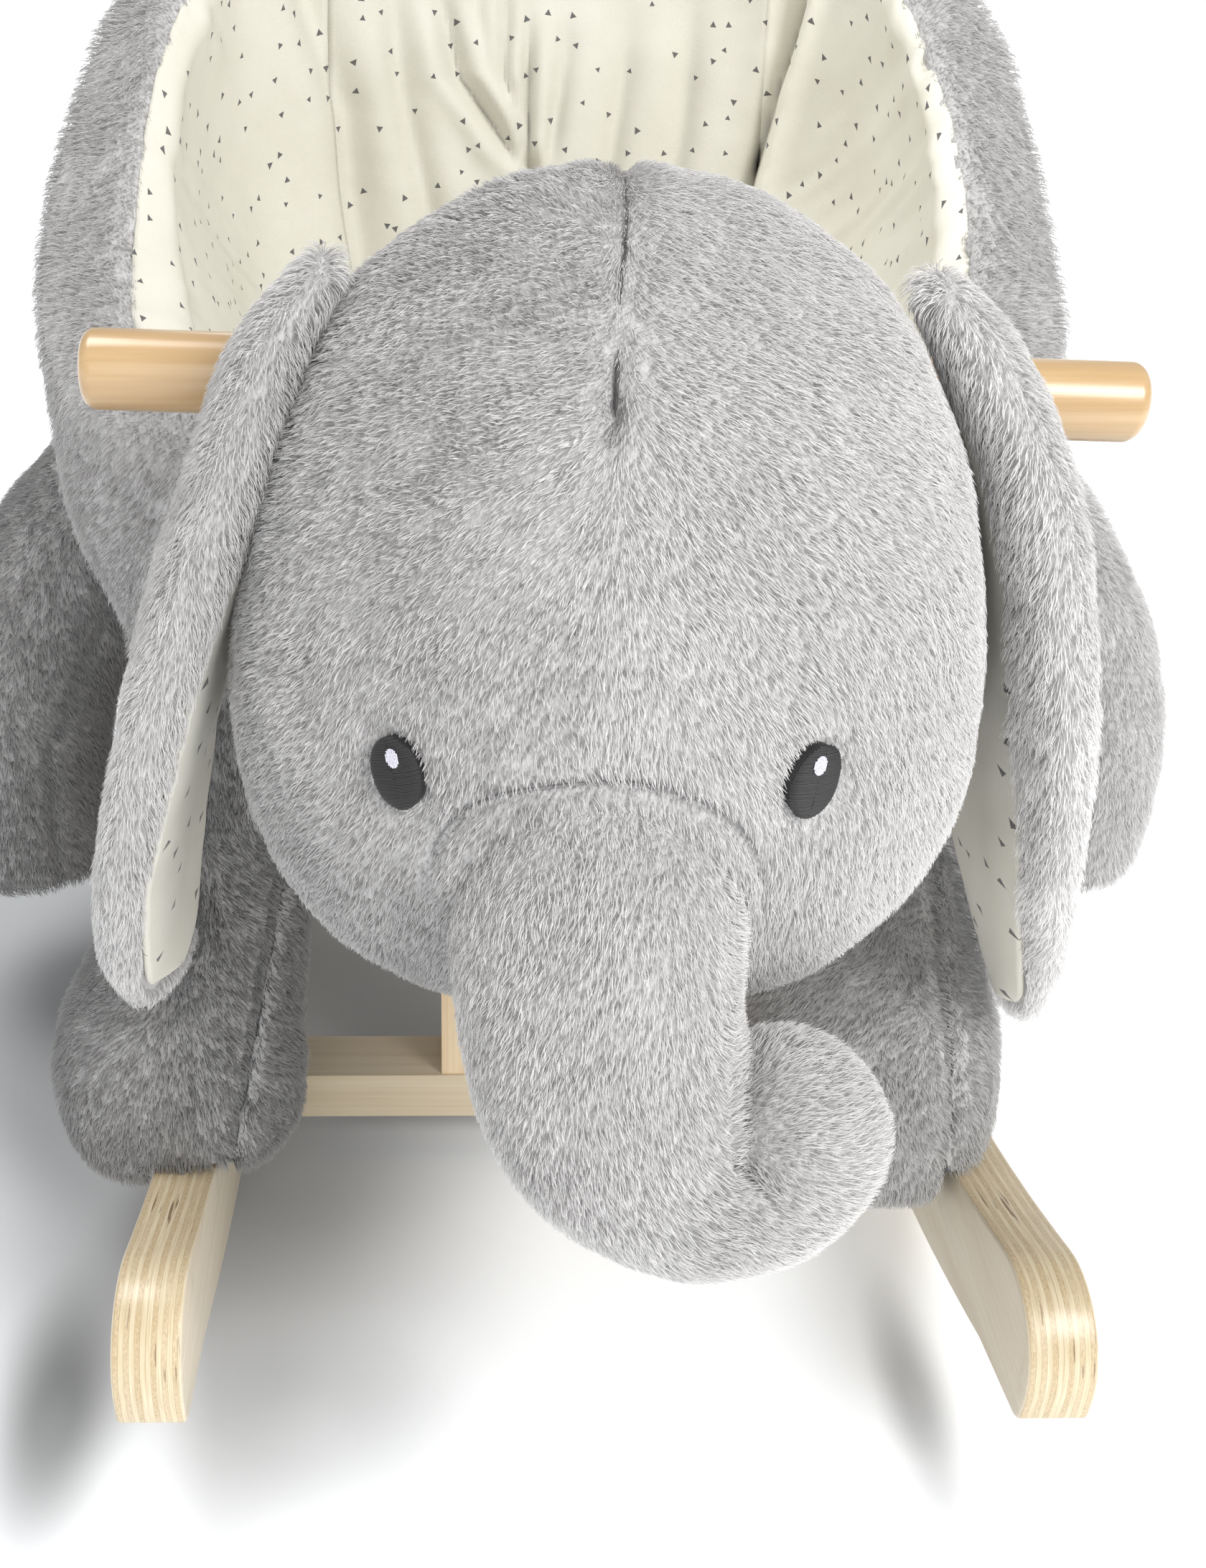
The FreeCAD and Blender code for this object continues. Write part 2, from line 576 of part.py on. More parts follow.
# foam padding
foam_boxes = {
    "base_padding": box(-big, big, -big, big, 0, S("baseLow") + S("baseThick") / 2),
    "seat_cushion": box(-big, big, -big, big, S("baseLow") + S("baseThick") / 2, S("cushionTop") + 3),
}
rest = padding
for name, b in foam_boxes.items():
    pieces[name] = padding.common(b)
upper = padding.common(box(-big, big, -big, big, S("cushionTop") + 3, big))
pieces["chest_padding"] = upper.common(box(xr + 18, xl - 18, -big, ymid_f, 0, big))
pieces["back_cushion"] = upper.common(box(xr + 14, xl - 14, 90, big, 0, big))
rest = upper.cut(box(xr + 18, xl - 18, -big, ymid_f, 0, big)).cut(box(xr + 14, xl - 14, 90, big, 0, big))
pieces["bolster_right"] = rest.common(box(-big, PX, -big, big, 0, big))
pieces["bolster_left"] = rest.common(box(PX, big, -big, big, 0, big))
# cotton lining, sewn from a seat panel, a back panel and two wing panels
lin_seat = box(-big, big, -big, big, 0, S("cushionTop") + 1)
lin_back = box(PX - 78, PX + 78, 70, big, S("cushionTop") + 1, big)
lining = lining.fuse(inner_rim.cut(head_gap).cut(neck_hull))
pieces["seat_lining"] = lining.common(lin_seat)
lup = lining.cut(lin_seat)
pieces["back_lining"] = lup.common(lin_back)
lup = lup.cut(lin_back)
pieces["wing_lining_right"] = lup.common(box(-big, PX, -big, big, 0, big))
pieces["wing_lining_left"] = lup.common(box(PX, big, -big, big, 0, big))


def keep(shape, least=400.0):
    solids = [s for s in shape.Solids if s.Volume > least]
    return solids[0] if len(solids) == 1 else Part.Compound(solids)


for name, s in pieces.items():
    k = keep(s)
    print("%-20s solids %d volume %.1f cm3" % (name, len(k.Solids), k.Volume / 1000))
    pieces[name] = k

# ------------------------------------------------------------------ legs
rail_tools = []
for side in (-1, 1):
    pts_b = [V(0, y, rail_bottom(y) - 6) for y in range(-300, 301, 20)]
    pts_t = [V(0, y, rail_top(y) + 0.5) for y in range(300, -301, -20)]
    poly = Part.makePolygon(pts_b + pts_t + [pts_b[0]])
    x0 = side * (S("spread") / 2 - S("ply") / 2) - S("ply") / 2 - 1.0
    sol = Part.Face(poly).extrude(V(S("ply") + 2.0, 0, 0))
    sol.translate(V(x0, 0, 0))
    rail_tools.append(sol)
tub_gap = tub(-0.4, -0.4)
bars = [box(-inner, inner, s * S("barReach") - 14, s * S("barReach") + 14, S("barTop") - S("barHeight") - 1, S("barTop") + 1) for s in (-1, 1)]
fr = S("frontLegRadius")


def front_leg(cx, hx):
    # the right leg is slimmer above a full foot; the left foot stands a little further forward
    ahead = 12 if cx > 0 else 0
    slim = 0 if cx > 0 else 4
    p = [(hx, -76, 262), (hx + (cx - hx) * 0.35, -88, 216), (hx + (cx - hx) * 0.75, -114, 162), (cx, -148 - ahead / 3, 118), (cx, -165 - ahead, 84), (cx, -168 - ahead, 62)]
    r = [(46 - slim, 44 - slim), (47 - slim, 46 - slim), (49 - slim, 47 - slim), (fr, fr - 1), (fr, fr - 1), (fr - 10, fr - 10)]
    leg = tube(p, r)
    leg = leg.cut(tub_gap).cut(head_gap)
    for t in rail_tools + bars + posts:
        leg = leg.cut(t)
    return keep(leg)


def hind_leg(side):
    hr = S("hindLegRadius")
    p = [(PX + side * 148, 52, 306), (PX + side * 196, 42, 262), (PX + side * 237, 24, 210), (PX + side * 257, 6, 158), (PX + side * 260, -3, 116), (PX + side * 260, -5, 84)]
    r = [(hr - 6, hr - 2), (hr - 3, hr + 2), (hr, hr + 4), (hr + 1, hr + 5), (hr + 1, hr + 3), (hr - 8, hr - 7)]
    leg = tube(p, r)
    return keep(leg.cut(tub_gap))


feature("front_leg_right", front_leg(-166.0, -118.0))
feature("front_leg_left", front_leg(122.0, 96.0))
feature("hind_leg_right", hind_leg(-1))
feature("hind_leg_left", hind_leg(1))
legs = [o.Shape for o in NODES[-4:]]

for name in ("belly_cover", "chest_cover", "rump_cover", "flank_cover_right", "flank_cover_left",
             "base_padding", "seat_cushion", "chest_padding", "back_cushion", "bolster_right", "bolster_left",
             "seat_lining", "back_lining", "wing_lining_right", "wing_lining_left"):
    feature(name, pieces[name])

# ------------------------------------------------------------------ head, trunk, eyes
TRUNK = [(-14, -262, 306), (-13, -288, 291), (-12.5, -307, 273), (-10.5, -319, 251), (-4, -326, 232), (10, -329, 218), (26, -331, 213), (38, -332, 215), (47, -332, 221)]
TRAD = [S("trunkRadius") + d for d in (0, 1, 0, -2, -2.5, -5, -8, -11, -15)]
trunk_raw = tube(TRUNK, TRAD)
cap = Part.makeSphere(TRAD[-1] - 0.5, V(*TRUNK[-1]))
tip = Part.makeSphere(TRAD[-1] - 2.5, V(49, -332, 236))
trunk = trunk_raw.fuse(cap).fuse(tip).cut(h0)
head_shell = h0.cut(h1).cut(neck_hull).cut(lean_hole)
# the filling is a thick layer inside the cover, packed round the neck block
h2 = head_form(S("headCover") + S("headPadding"))
stuffing = h1.cut(h2).cut(neck_hull).cut(lean_hole)
feature("head_cover", keep(head_shell))
feature("head_stuffing", keep(stuffing))
feature("trunk", keep(trunk))
skin_out = head_form(-1.2).cut(h0)
for label, ex, ez in (("eye_right", -68.2, 327.5), ("eye_left", 42.0, 328.3)):
    ell = Part.Ellipse(V(0, 0, 0), 10.4, 6.6)
    face = Part.Face(Part.Wire(ell.toShape()))
    face.rotate(V(0, 0, 0), V(0, 0, 1), 90)
    face.rotate(V(0, 0, 0), V(1, 0, 0), 90)
    face.translate(V(ex, -360, ez))
    eye = face.extrude(V(0, 120, 0)).common(skin_out)
    feature(label, keep(eye, 20.0))


# ------------------------------------------------------------------ ears
# height, middle of the thickness, front edge, rear edge, share of the full thickness
EARS = {
    -1: [(432, 82, -217, -187, 0.40), (414, 96, -231, -185, 0.75), (388, 107, -246, -184, 0.95), (350, 122, -258, -184, 1.0), (318, 134, -264, -172, 1.0),
         (282, 145, -262, -148, 1.0), (248, 154, -255, -140, 1.0), (218, 159, -244, -144, 1.0), (192, 162, -230, -154, 0.86), (172, 162, -215, -170, 0.60)],
    1: [(432, 88, -217, -187, 0.40), (414, 102, -231, -185, 0.75), (388, 115, -246, -184, 0.95), (350, 127, -258, -184, 1.0), (318, 134, -264, -172, 1.0),
        (282, 142, -262, -148, 1.0), (248, 149, -252, -140, 1.0), (215, 158, -239, -144, 1.0), (183, 167, -223, -156, 0.80), (156, 173, -208, -174, 0.54)],
}


def ear(side):
    """Two flat stuffed layers hanging from a seam on the head's upper side."""
    outer = []
    for z, x, yf, yr, f in EARS[side]:
        t = S("earThick") * f
        cy, b = (yf + yr) / 2, (yr - yf) / 2
        po = []
        for k in range(16):
            a = 2 * math.pi * k / 16
            po.append((side * (x + (t / 2) * sgnpow(math.cos(a), 0.8)) + S("headX"), cy + b * math.sin(a), z))
        outer.append(closed_wire(po))
    return loft(outer)


def ear_pair(side, word):
    full = ear(side)
    # the lining is the layer nearest the head
    rows = EARS[side]
    line = [(rows[0][0] + 12, rows[0][1] - 8)] + [(e[0], e[1]) for e in rows] + [(rows[-1][0] - 12, rows[-1][1])]
    face_pts = [V(side * (x - S("earThick") * 0.22) + S("headX"), -300, z) for z, x in line]
    c = Part.BSplineCurve()
    c.interpolate(face_pts)
    wall = c.toShape().extrude(V(0, 240, 0))
    solid_in = wall.extrude(V(-side * 60, 0, 0))
    clear = head_form(-0.6)
    lin = full.common(solid_in).cut(clear)
    out = full.cut(solid_in).cut(clear)
    return keep(out), keep(lin)


for side, word in ((-1, "right"), (1, "left")):
    out, lin = ear_pair(side, word)
    print("ear", word, len(out.Solids), round(out.Volume / 1000, 1), len(lin.Solids), round(lin.Volume / 1000, 1))
    feature("ear_cover_" + word, out)
    feature("ear_lining_" + word, lin)

# ------------------------------------------------------------------ tail
tr = S("tailRadius")
tl = S("tailLength")
ty = TR + 1.2
tail = tube([(PX, ty, 296), (PX, ty + 9, 282), (PX, ty + 14, 255), (PX, ty + 15, 215), (PX, ty + 14, 296 - tl + 6)],
            [tr - 3, tr, tr, tr - 1, tr + 1])
tail = tail.cut(tub(-0.6, -0.6))
feature("tail", keep(tail))

# ------------------------------------------------------------------ checks and files
doc.recompute()
bad = []
for obj in doc.Objects:
    if any(s in ("Invalid", "Error") for s in obj.State):
        bad.append(obj.Name + " " + str(obj.State))
for obj in NODES:
    sh = obj.Shape
    if sh.isNull() or not sh.isValid() or sh.Volume <= 0:
        bad.append(obj.Label + " shape")
if bad:
    print("FAILED:", bad)
    raise SystemExit(1)
mass = 0.0
moment = V(0, 0, 0)
for obj in NODES:
    soft = any(w in obj.Label for w in ("cover", "lining", "padding", "cushion", "bolster", "leg_", "head", "trunk", "eye", "ear", "tail", "stuffing"))
    if obj.Label.startswith("rear") or "board" in obj.Label:
        soft = False
    rho = 0.3 if soft else (7.85 if ("screw" in obj.Label or "bolts" in obj.Label or "nuts" in obj.Label) else 0.6)
    print("%-24s %7.1f g  y %6.1f z %6.1f" % (obj.Label, obj.Shape.Volume * rho / 1000, sum((q.CenterOfMass.y * q.Volume for q in obj.Shape.Solids)) / obj.Shape.Volume,
                                              sum((q.CenterOfMass.z * q.Volume for q in obj.Shape.Solids)) / obj.Shape.Volume))
    for s in obj.Shape.Solids:
        mass += s.Volume * rho
        moment += s.CenterOfMass * (s.Volume * rho)
print("nodes", len(NODES), "mass kg", round(mass / 1e6, 3), "centre of mass", [round(v, 1) for v in (moment * (1 / mass))])
os.makedirs("parts", exist_ok=True)
for obj in NODES:
    obj.Shape.exportStep("parts/%s.step" % obj.Label)
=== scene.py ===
import math
import bpy
import bmesh
import numpy as np
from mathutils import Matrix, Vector
from mathutils.bvhtree import BVHTree


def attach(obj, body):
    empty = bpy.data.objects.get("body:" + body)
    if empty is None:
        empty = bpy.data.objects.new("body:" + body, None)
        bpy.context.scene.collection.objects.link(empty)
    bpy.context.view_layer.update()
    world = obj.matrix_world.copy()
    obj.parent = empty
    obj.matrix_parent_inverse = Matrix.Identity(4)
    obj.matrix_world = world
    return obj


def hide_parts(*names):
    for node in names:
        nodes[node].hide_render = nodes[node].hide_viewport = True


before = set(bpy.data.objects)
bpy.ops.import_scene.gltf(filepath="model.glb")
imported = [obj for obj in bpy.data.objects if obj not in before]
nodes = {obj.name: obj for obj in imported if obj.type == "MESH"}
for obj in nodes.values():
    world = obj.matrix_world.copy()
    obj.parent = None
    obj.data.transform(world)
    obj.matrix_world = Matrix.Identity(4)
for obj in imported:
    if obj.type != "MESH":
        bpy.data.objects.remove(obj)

# Plush rocking elephant.  Lengths below are millimetres, like the frame's drawing; meshes are made in metres.
MM = 0.001
scene = bpy.context.scene
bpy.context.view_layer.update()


# ================================================================== camera, light, floor
def camera():
    data = bpy.data.cameras.new("Camera")
    data.sensor_fit = "VERTICAL"
    data.sensor_height = 36.0
    data.lens = 36.02
    data.shift_x = 0.0971
    data.shift_y = 0.0082
    data.clip_start = 0.01
    data.clip_end = 40
    ob = bpy.data.objects.new("Camera", data)
    ob.location = (-0.0556, -0.648, 0.560)
    ob.rotation_euler = (math.radians(90 - 34.6), 0.0, math.radians(-0.3))
    scene.collection.objects.link(ob)
    scene.camera = ob


camera()
scene.view_settings.view_transform = "Standard"
scene.view_settings.look = "None"


def new_mat(name):
    m = bpy.data.materials.new(name)
    m.use_nodes = True
    nt = m.node_tree
    for n in list(nt.nodes):
        nt.nodes.remove(n)
    out = nt.nodes.new("ShaderNodeOutputMaterial")
    b = nt.nodes.new("ShaderNodeBsdfPrincipled")
    nt.links.new(b.outputs[0], out.inputs[0])
    return m, nt, b


def nd(nt, kind, **props):
    n = nt.nodes.new(kind)
    for k, v in props.items():
        setattr(n, k, v)
    return n


def link(nt, a, b):
    nt.links.new(a, b)


def ramp(nt, fac, stops):
    r = nd(nt, "ShaderNodeValToRGB")
    els = r.color_ramp.elements
    while len(els) < len(stops):
        els.new(0.5)
    for e, (pos, col) in zip(els, stops):
        e.position = pos
        e.color = (*col, 1.0) if len(col) == 3 else col
    link(nt, fac, r.inputs[0])
    return r.outputs[0]


def math_node(nt, op, a, b=None, c=None, clamp=False):
    n = nd(nt, "ShaderNodeMath", operation=op, use_clamp=clamp)
    for i, v in enumerate((a, b, c)):
        if v is None:
            continue
        if isinstance(v, (int, float)):
            n.inputs[i].default_value = v
        else:
            link(nt, v, n.inputs[i])
    return n.outputs[0]


def mix_col(nt, fac, a, b, mode="MIX"):
    n = nd(nt, "ShaderNodeMix", data_type="RGBA", blend_type=mode)
    for sock, v in ((n.inputs[0], fac), (n.inputs[6], a), (n.inputs[7], b)):
        if isinstance(v, (int, float)):
            sock.default_value = v
        elif isinstance(v, (tuple, list)):
            sock.default_value = (*v, 1.0)
        else:
            link(nt, v, sock)
    return n.outputs[2]


def noise(nt, vec, scale, detail=3.0, rough=0.55, dist=0.0):
    n = nd(nt, "ShaderNodeTexNoise")
    n.inputs["Scale"].default_value = scale
    n.inputs["Detail"].default_value = detail
    n.inputs["Roughness"].default_value = rough
    n.inputs["Distortion"].default_value = dist
    link(nt, vec, n.inputs["Vector"])
    return n


def mapping(nt, vec, scale=(1, 1, 1), loc=(0, 0, 0), rot=(0, 0, 0)):
    m = nd(nt, "ShaderNodeMapping")
    m.inputs["Scale"].default_value = scale
    m.inputs["Location"].default_value = loc
    m.inputs["Rotation"].default_value = rot
    link(nt, vec, m.inputs["Vector"])
    return m.outputs[0]


def bump(nt, height, strength, dist, normal=None):
    b = nd(nt, "ShaderNodeBump")
    b.inputs["Strength"].default_value = strength
    b.inputs["Distance"].default_value = dist
    link(nt, height, b.inputs["Height"])
    if normal is not None:
        link(nt, normal, b.inputs["Normal"])
    return b.outputs[0]


def obj_coords(nt):
    return nd(nt, "ShaderNodeTexCoord").outputs["Object"]


# ------------------------------------------------------------------ materials
def fur_skin(name, dark, light):
    """The plush seen as a surface, between and under the strands."""
    m, nt, b = new_mat(name)
    co = obj_coords(nt)
    fine = noise(nt, mapping(nt, co, (900, 900, 260)), 1.0, 3.0, 0.6, 0.4)
    broad = noise(nt, co, 22.0, 2.0)
    t = math_node(nt, "ADD", math_node(nt, "MULTIPLY", fine.outputs[0], 0.75), math_node(nt, "MULTIPLY", broad.outputs[0], 0.25))
    col = ramp(nt, t, [(0.33, dark), (0.66, light)])
    link(nt, col, b.inputs["Base Color"])
    b.inputs["Roughness"].default_value = 0.95
    b.inputs["Specular IOR Level"].default_value = 0.1
    b.inputs["Sheen Weight"].default_value = 0.25
    b.inputs["Sheen Roughness"].default_value = 0.5
    link(nt, bump(nt, fine.outputs[0], 0.6, 0.0015), b.inputs["Normal"])
    return m


def fur_strand(name, root, tip):
    m, nt, b = new_mat(name)
    info = nd(nt, "ShaderNodeHairInfo")
    tone = nd(nt, "ShaderNodeAttribute", attribute_name="tone")
    t = math_node(nt, "POWER", info.outputs["Intercept"], 0.9)
    col = mix_col(nt, t, root, tip)
    col = mix_col(nt, 1.0, col, tone.outputs["Color"], "MULTIPLY")
    link(nt, col, b.inputs["Base Color"])
    b.inputs["Roughness"].default_value = 0.55
    b.inputs["Specular IOR Level"].default_value = 0.25
    b.inputs["Sheen Weight"].default_value = 0.0
    return m


FUR_SKIN = fur_skin("PlushSkin", (0.40, 0.392, 0.39), (0.66, 0.652, 0.647))
FUR_HAIR = fur_strand("PlushStrand", (0.49, 0.48, 0.477), (0.80, 0.79, 0.783))


def cotton(name, tri=0.00150, cell=0.0144, print_on=True, uv="mmUV", painted_light_gain=1.0):
    """Cream woven cotton with small scattered dark triangles; the map is in metres along the cloth. The gain paints the
    whole cloth lighter or darker, as painted light and shade.
    """
    m, nt, b = new_mat(name)
    u = nd(nt, "ShaderNodeUVMap", uv_map=uv).outputs[0]
    warp = nd(nt, "ShaderNodeTexWave", wave_type="BANDS", bands_direction="X")
    weft = nd(nt, "ShaderNodeTexWave", wave_type="BANDS", bands_direction="Y")
    for w in (warp, weft):
        w.inputs["Scale"].default_value = 1.0
        w.inputs["Distortion"].default_value = 1.2
        w.inputs["Detail"].default_value = 1.0
    link(nt, mapping(nt, u, (420, 420, 1)), warp.inputs["Vector"])
    link(nt, mapping(nt, u, (420, 420, 1)), weft.inputs["Vector"])
    weave = math_node(nt, "ADD", warp.outputs["Fac"], weft.outputs["Fac"])
    slub = noise(nt, mapping(nt, u, (120, 900, 1)), 1.0, 2.0)
    blot = noise(nt, mapping(nt, u, (14, 14, 1)), 1.0, 3.0)
    base = ramp(nt, blot.outputs[0], [(0.3, tuple(v * painted_light_gain for v in (0.685, 0.668, 0.582))), (0.7, tuple(v * painted_light_gain for v in (0.735, 0.72, 0.645)))])
    base = mix_col(nt, math_node(nt, "MULTIPLY", slub.outputs[0], 0.16), base, (0.68, 0.64, 0.54))
    if print_on:
        v = nd(nt, "ShaderNodeTexVoronoi", voronoi_dimensions="2D", feature="F1")
        v.inputs["Scale"].default_value = 1.0 / cell
        v.inputs["Randomness"].default_value = 0.78
        link(nt, u, v.inputs["Vector"])
        d = nd(nt, "ShaderNodeVectorMath", operation="SUBTRACT")
        sc = nd(nt, "ShaderNodeVectorMath", operation="SCALE")
        link(nt, u, sc.inputs[0])
        sc.inputs["Scale"].default_value = 1.0 / cell
        # Position comes back in the scaled map's units
        link(nt, u, d.inputs[0])
        link(nt, v.outputs["Position"], d.inputs[1])
        rnd = nd(nt, "ShaderNodeSeparateColor")
        link(nt, v.outputs["Color"], rnd.inputs[0])
        rot = nd(nt, "ShaderNodeVectorRotate", rotation_type="Z_AXIS")
        link(nt, d.outputs[0], rot.inputs["Vector"])
        link(nt, math_node(nt, "MULTIPLY", rnd.outputs[0], 6.283), rot.inputs["Angle"])
        xyz = nd(nt, "ShaderNodeSeparateXYZ")
        link(nt, rot.outputs[0], xyz.inputs[0])
        x, y = xyz.outputs[0], xyz.outputs[1]
        e1 = math_node(nt, "MULTIPLY", y, -1.0)
        e2 = math_node(nt, "ADD", math_node(nt, "MULTIPLY", x, 0.866), math_node(nt, "MULTIPLY", y, 0.5))
        e3 = math_node(nt, "ADD", math_node(nt, "MULTIPLY", x, -0.866), math_node(nt, "MULTIPLY", y, 0.5))
        dist = math_node(nt, "MAXIMUM", math_node(nt, "MAXIMUM", e1, e2), e3)
        size = math_node(nt, "MULTIPLY_ADD", rnd.outputs[1], tri * 0.20, tri * 0.50)
        inside = math_node(nt, "MULTIPLY", math_node(nt, "SUBTRACT", size, dist), 9000.0, clamp=True)
        keep = math_node(nt, "GREATER_THAN", rnd.outputs[2], 0.14)
        inside = math_node(nt, "MULTIPLY", inside, keep)
        worn = math_node(nt, "MULTIPLY_ADD", weave, -0.10, 1.0)
        inside = math_node(nt, "MULTIPLY", inside, worn)
        base = mix_col(nt, inside, base, (0.075, 0.072, 0.078))
    link(nt, base, b.inputs["Base Color"])
    b.inputs["Roughness"].default_value = 0.88
    b.inputs["Specular IOR Level"].default_value = 0.2
    b.inputs["Sheen Weight"].default_value = 0.15
    b.inputs["Subsurface Weight"].default_value = 0.0
    n1 = bump(nt, weave, 0.25, 0.0002)
    n2 = bump(nt, blot.outputs[0], 0.25, 0.002, n1)
    link(nt, n2, b.inputs["Normal"])
    return m


COTTON = cotton("CottonPrint")
# painted light and shade: the wing's copy is painted lighter, the back's copy darker
COTTON_WING_PAINTED_LIGHT = cotton("CottonPrintWing", painted_light_gain=1.19)
COTTON_BACK_PAINTED_SHADE = cotton("CottonPrintBack", painted_light_gain=0.96)


def wood(name, light, dark, axis="X", ring=55.0, fine=900.0, rough=0.42, coat=0.0, knots=0.0):
    m, nt, b = new_mat(name)
    co = obj_coords(nt)
    stretch = {"X": (1.3, ring, ring), "Y": (ring, 1.3, ring), "Z": (ring, ring, 1.3)}[axis]
    fibre = {"X": (14, fine, fine), "Y": (fine, 14, fine), "Z": (fine, fine, 14)}[axis]
    n1 = noise(nt, mapping(nt, co, stretch), 1.0, 4.0, 0.6, 1.2)
    n2 = noise(nt, mapping(nt, co, fibre), 1.0, 2.0, 0.5)
    t = math_node(nt, "ADD", math_node(nt, "MULTIPLY", n1.outputs[0], 0.72), math_node(nt, "MULTIPLY", n2.outputs[0], 0.28))
    col = ramp(nt, t, [(0.30, dark), (0.5, tuple((a + c) / 2 for a, c in zip(light, dark))), (0.68, light)])
    if knots:
        k = noise(nt, mapping(nt, co, tuple(v * 0.5 for v in stretch)), 1.7, 2.0)
        spot = math_node(nt, "MULTIPLY", math_node(nt, "SUBTRACT", k.outputs[0], 0.66), 9.0, clamp=True)
        col = mix_col(nt, math_node(nt, "MULTIPLY", spot, knots), col, tuple(v * 0.6 for v in dark))
    link(nt, col, b.inputs["Base Color"])
    b.inputs["Roughness"].default_value = rough
    b.inputs["Coat Weight"].default_value = coat
    b.inputs["Coat Roughness"].default_value = 0.22
    link(nt, bump(nt, n2.outputs[0], 0.12, 0.0004), b.inputs["Normal"])
    return m


def ply(name):
    """Birch ply: pale face veneer on the sides, alternating veneers along the cut edges."""
    m, nt, b = new_mat(name)
    co = obj_coords(nt)
    sep = nd(nt, "ShaderNodeSeparateXYZ")
    link(nt, co, sep.inputs[0])
    wob = noise(nt, mapping(nt, co, (60, 9, 9)), 1.0, 2.0)
    ax = math_node(nt, "ABSOLUTE", sep.outputs[0])
    x = math_node(nt, "ADD", ax, math_node(nt, "MULTIPLY", math_node(nt, "SUBTRACT", wob.outputs[0], 0.5), 0.0012))
    layer = math_node(nt, "DIVIDE", x, 0.00193)
    idx = math_node(nt, "FLOOR", layer)
    frac = math_node(nt, "FRACT", layer)
    wn = nd(nt, "ShaderNodeTexWhiteNoise", noise_dimensions="1D")
    link(nt, idx, wn.inputs["W"])
    odd = math_node(nt, "MODULO", idx, 2.0)
    grain_long = noise(nt, mapping(nt, co, (1500, 60, 60)), 1.0, 3.0, 0.6)
    grain_end = noise(nt, mapping(nt, co, (1500, 700, 700)), 1.0, 2.0, 0.6)
    light = ramp(nt, grain_long.outputs[0], [(0.3, (0.58, 0.45, 0.27)), (0.65, (0.76, 0.66, 0.46))])
    darker = ramp(nt, grain_end.outputs[0], [(0.3, (0.44, 0.31, 0.165)), (0.65, (0.63, 0.50, 0.31))])
    lay = mix_col(nt, math_node(nt, "MULTIPLY", odd, 0.80), light, darker)
    lay = mix_col(nt, math_node(nt, "MULTIPLY", wn.outputs["Value"], 0.22), lay, (0.82, 0.73, 0.55))
    glue = math_node(nt, "LESS_THAN", frac, 0.09)
    lay = mix_col(nt, math_node(nt, "MULTIPLY", glue, 0.45), lay, (0.36, 0.22, 0.10))
    # short dark voids and knots in some veneers
    vo = noise(nt, mapping(nt, co, (520, 34, 34), (3.1, 1.7, 0.4)), 1.0, 2.0, 0.6)
    gap = math_node(nt, "MULTIPLY", math_node(nt, "SUBTRACT", vo.outputs[0], 0.665), 16.0, clamp=True)
    lay = mix_col(nt, math_node(nt, "MULTIPLY", gap, 0.8), lay, (0.17, 0.09, 0.04))
    face_n = noise(nt, mapping(nt, co, (20, 5, 60)), 1.0, 4.0, 0.6, 0.8)
    face_f = noise(nt, mapping(nt, co, (20, 30, 900)), 1.0, 2.0)
    ft = math_node(nt, "ADD", math_node(nt, "MULTIPLY", face_n.outputs[0], 0.7), math_node(nt, "MULTIPLY", face_f.outputs[0], 0.3))
    face = ramp(nt, ft, [(0.32, (0.65, 0.545, 0.39)), (0.66, (0.78, 0.705, 0.565))])
    geo = nd(nt, "ShaderNodeTexCoord")
    ns = nd(nt, "ShaderNodeSeparateXYZ")
    link(nt, geo.outputs["Normal"], ns.inputs[0])
    side = math_node(nt, "MULTIPLY", math_node(nt, "SUBTRACT", math_node(nt, "ABSOLUTE", ns.outputs[0]), 0.55), 6.0, clamp=True)
    col = mix_col(nt, side, lay, face)
    link(nt, col, b.inputs["Base Color"])
    b.inputs["Roughness"].default_value = 0.38
    b.inputs["Coat Weight"].default_value = 0.35
    b.inputs["Coat Roughness"].default_value = 0.25
    h = math_node(nt, "MULTIPLY", gap, -1.0)
    link(nt, bump(nt, h, 0.5, 0.0006, bump(nt, grain_end.outputs[0], 0.1, 0.0003)), b.inputs["Normal"])
    return m


PLY = ply("BirchPly")
BEECH = wood("LacqueredBeech", (0.61, 0.425, 0.23), (0.46, 0.285, 0.125), "X", 42.0, 700.0, 0.3, 0.6, 0.35)
PINE = wood("PaleBar", (0.71, 0.62, 0.465), (0.56, 0.45, 0.30), "X", 60.0, 900.0, 0.45, 0.15)
POST = wood("PalePost", (0.84, 0.68, 0.46), (0.66, 0.47, 0.27), "Z", 50.0, 800.0, 0.45, 0.15)
BOARD = wood("InnerBoard", (0.74, 0.58, 0.36), (0.52, 0.36, 0.20), "Y", 40.0, 700.0, 0.6)


def steel(name, base, rough):
    m, nt, b = new_mat(name)
    co = obj_coords(nt)
    n = noise(nt, mapping(nt, co, (700, 700, 700)), 1.0, 2.0)
    link(nt, ramp(nt, n.outputs[0], [(0.3, tuple(v * 0.86 for v in base)), (0.7, base)]), b.inputs["Base Color"])
    b.inputs["Metallic"].default_value = 1.0
    b.inputs["Roughness"].default_value = rough
    link(nt, bump(nt, n.outputs[0], 0.08, 0.0002), b.inputs["Normal"])
    return m


STEEL = steel("ZincSteel", (0.66, 0.66, 0.68), 0.34)


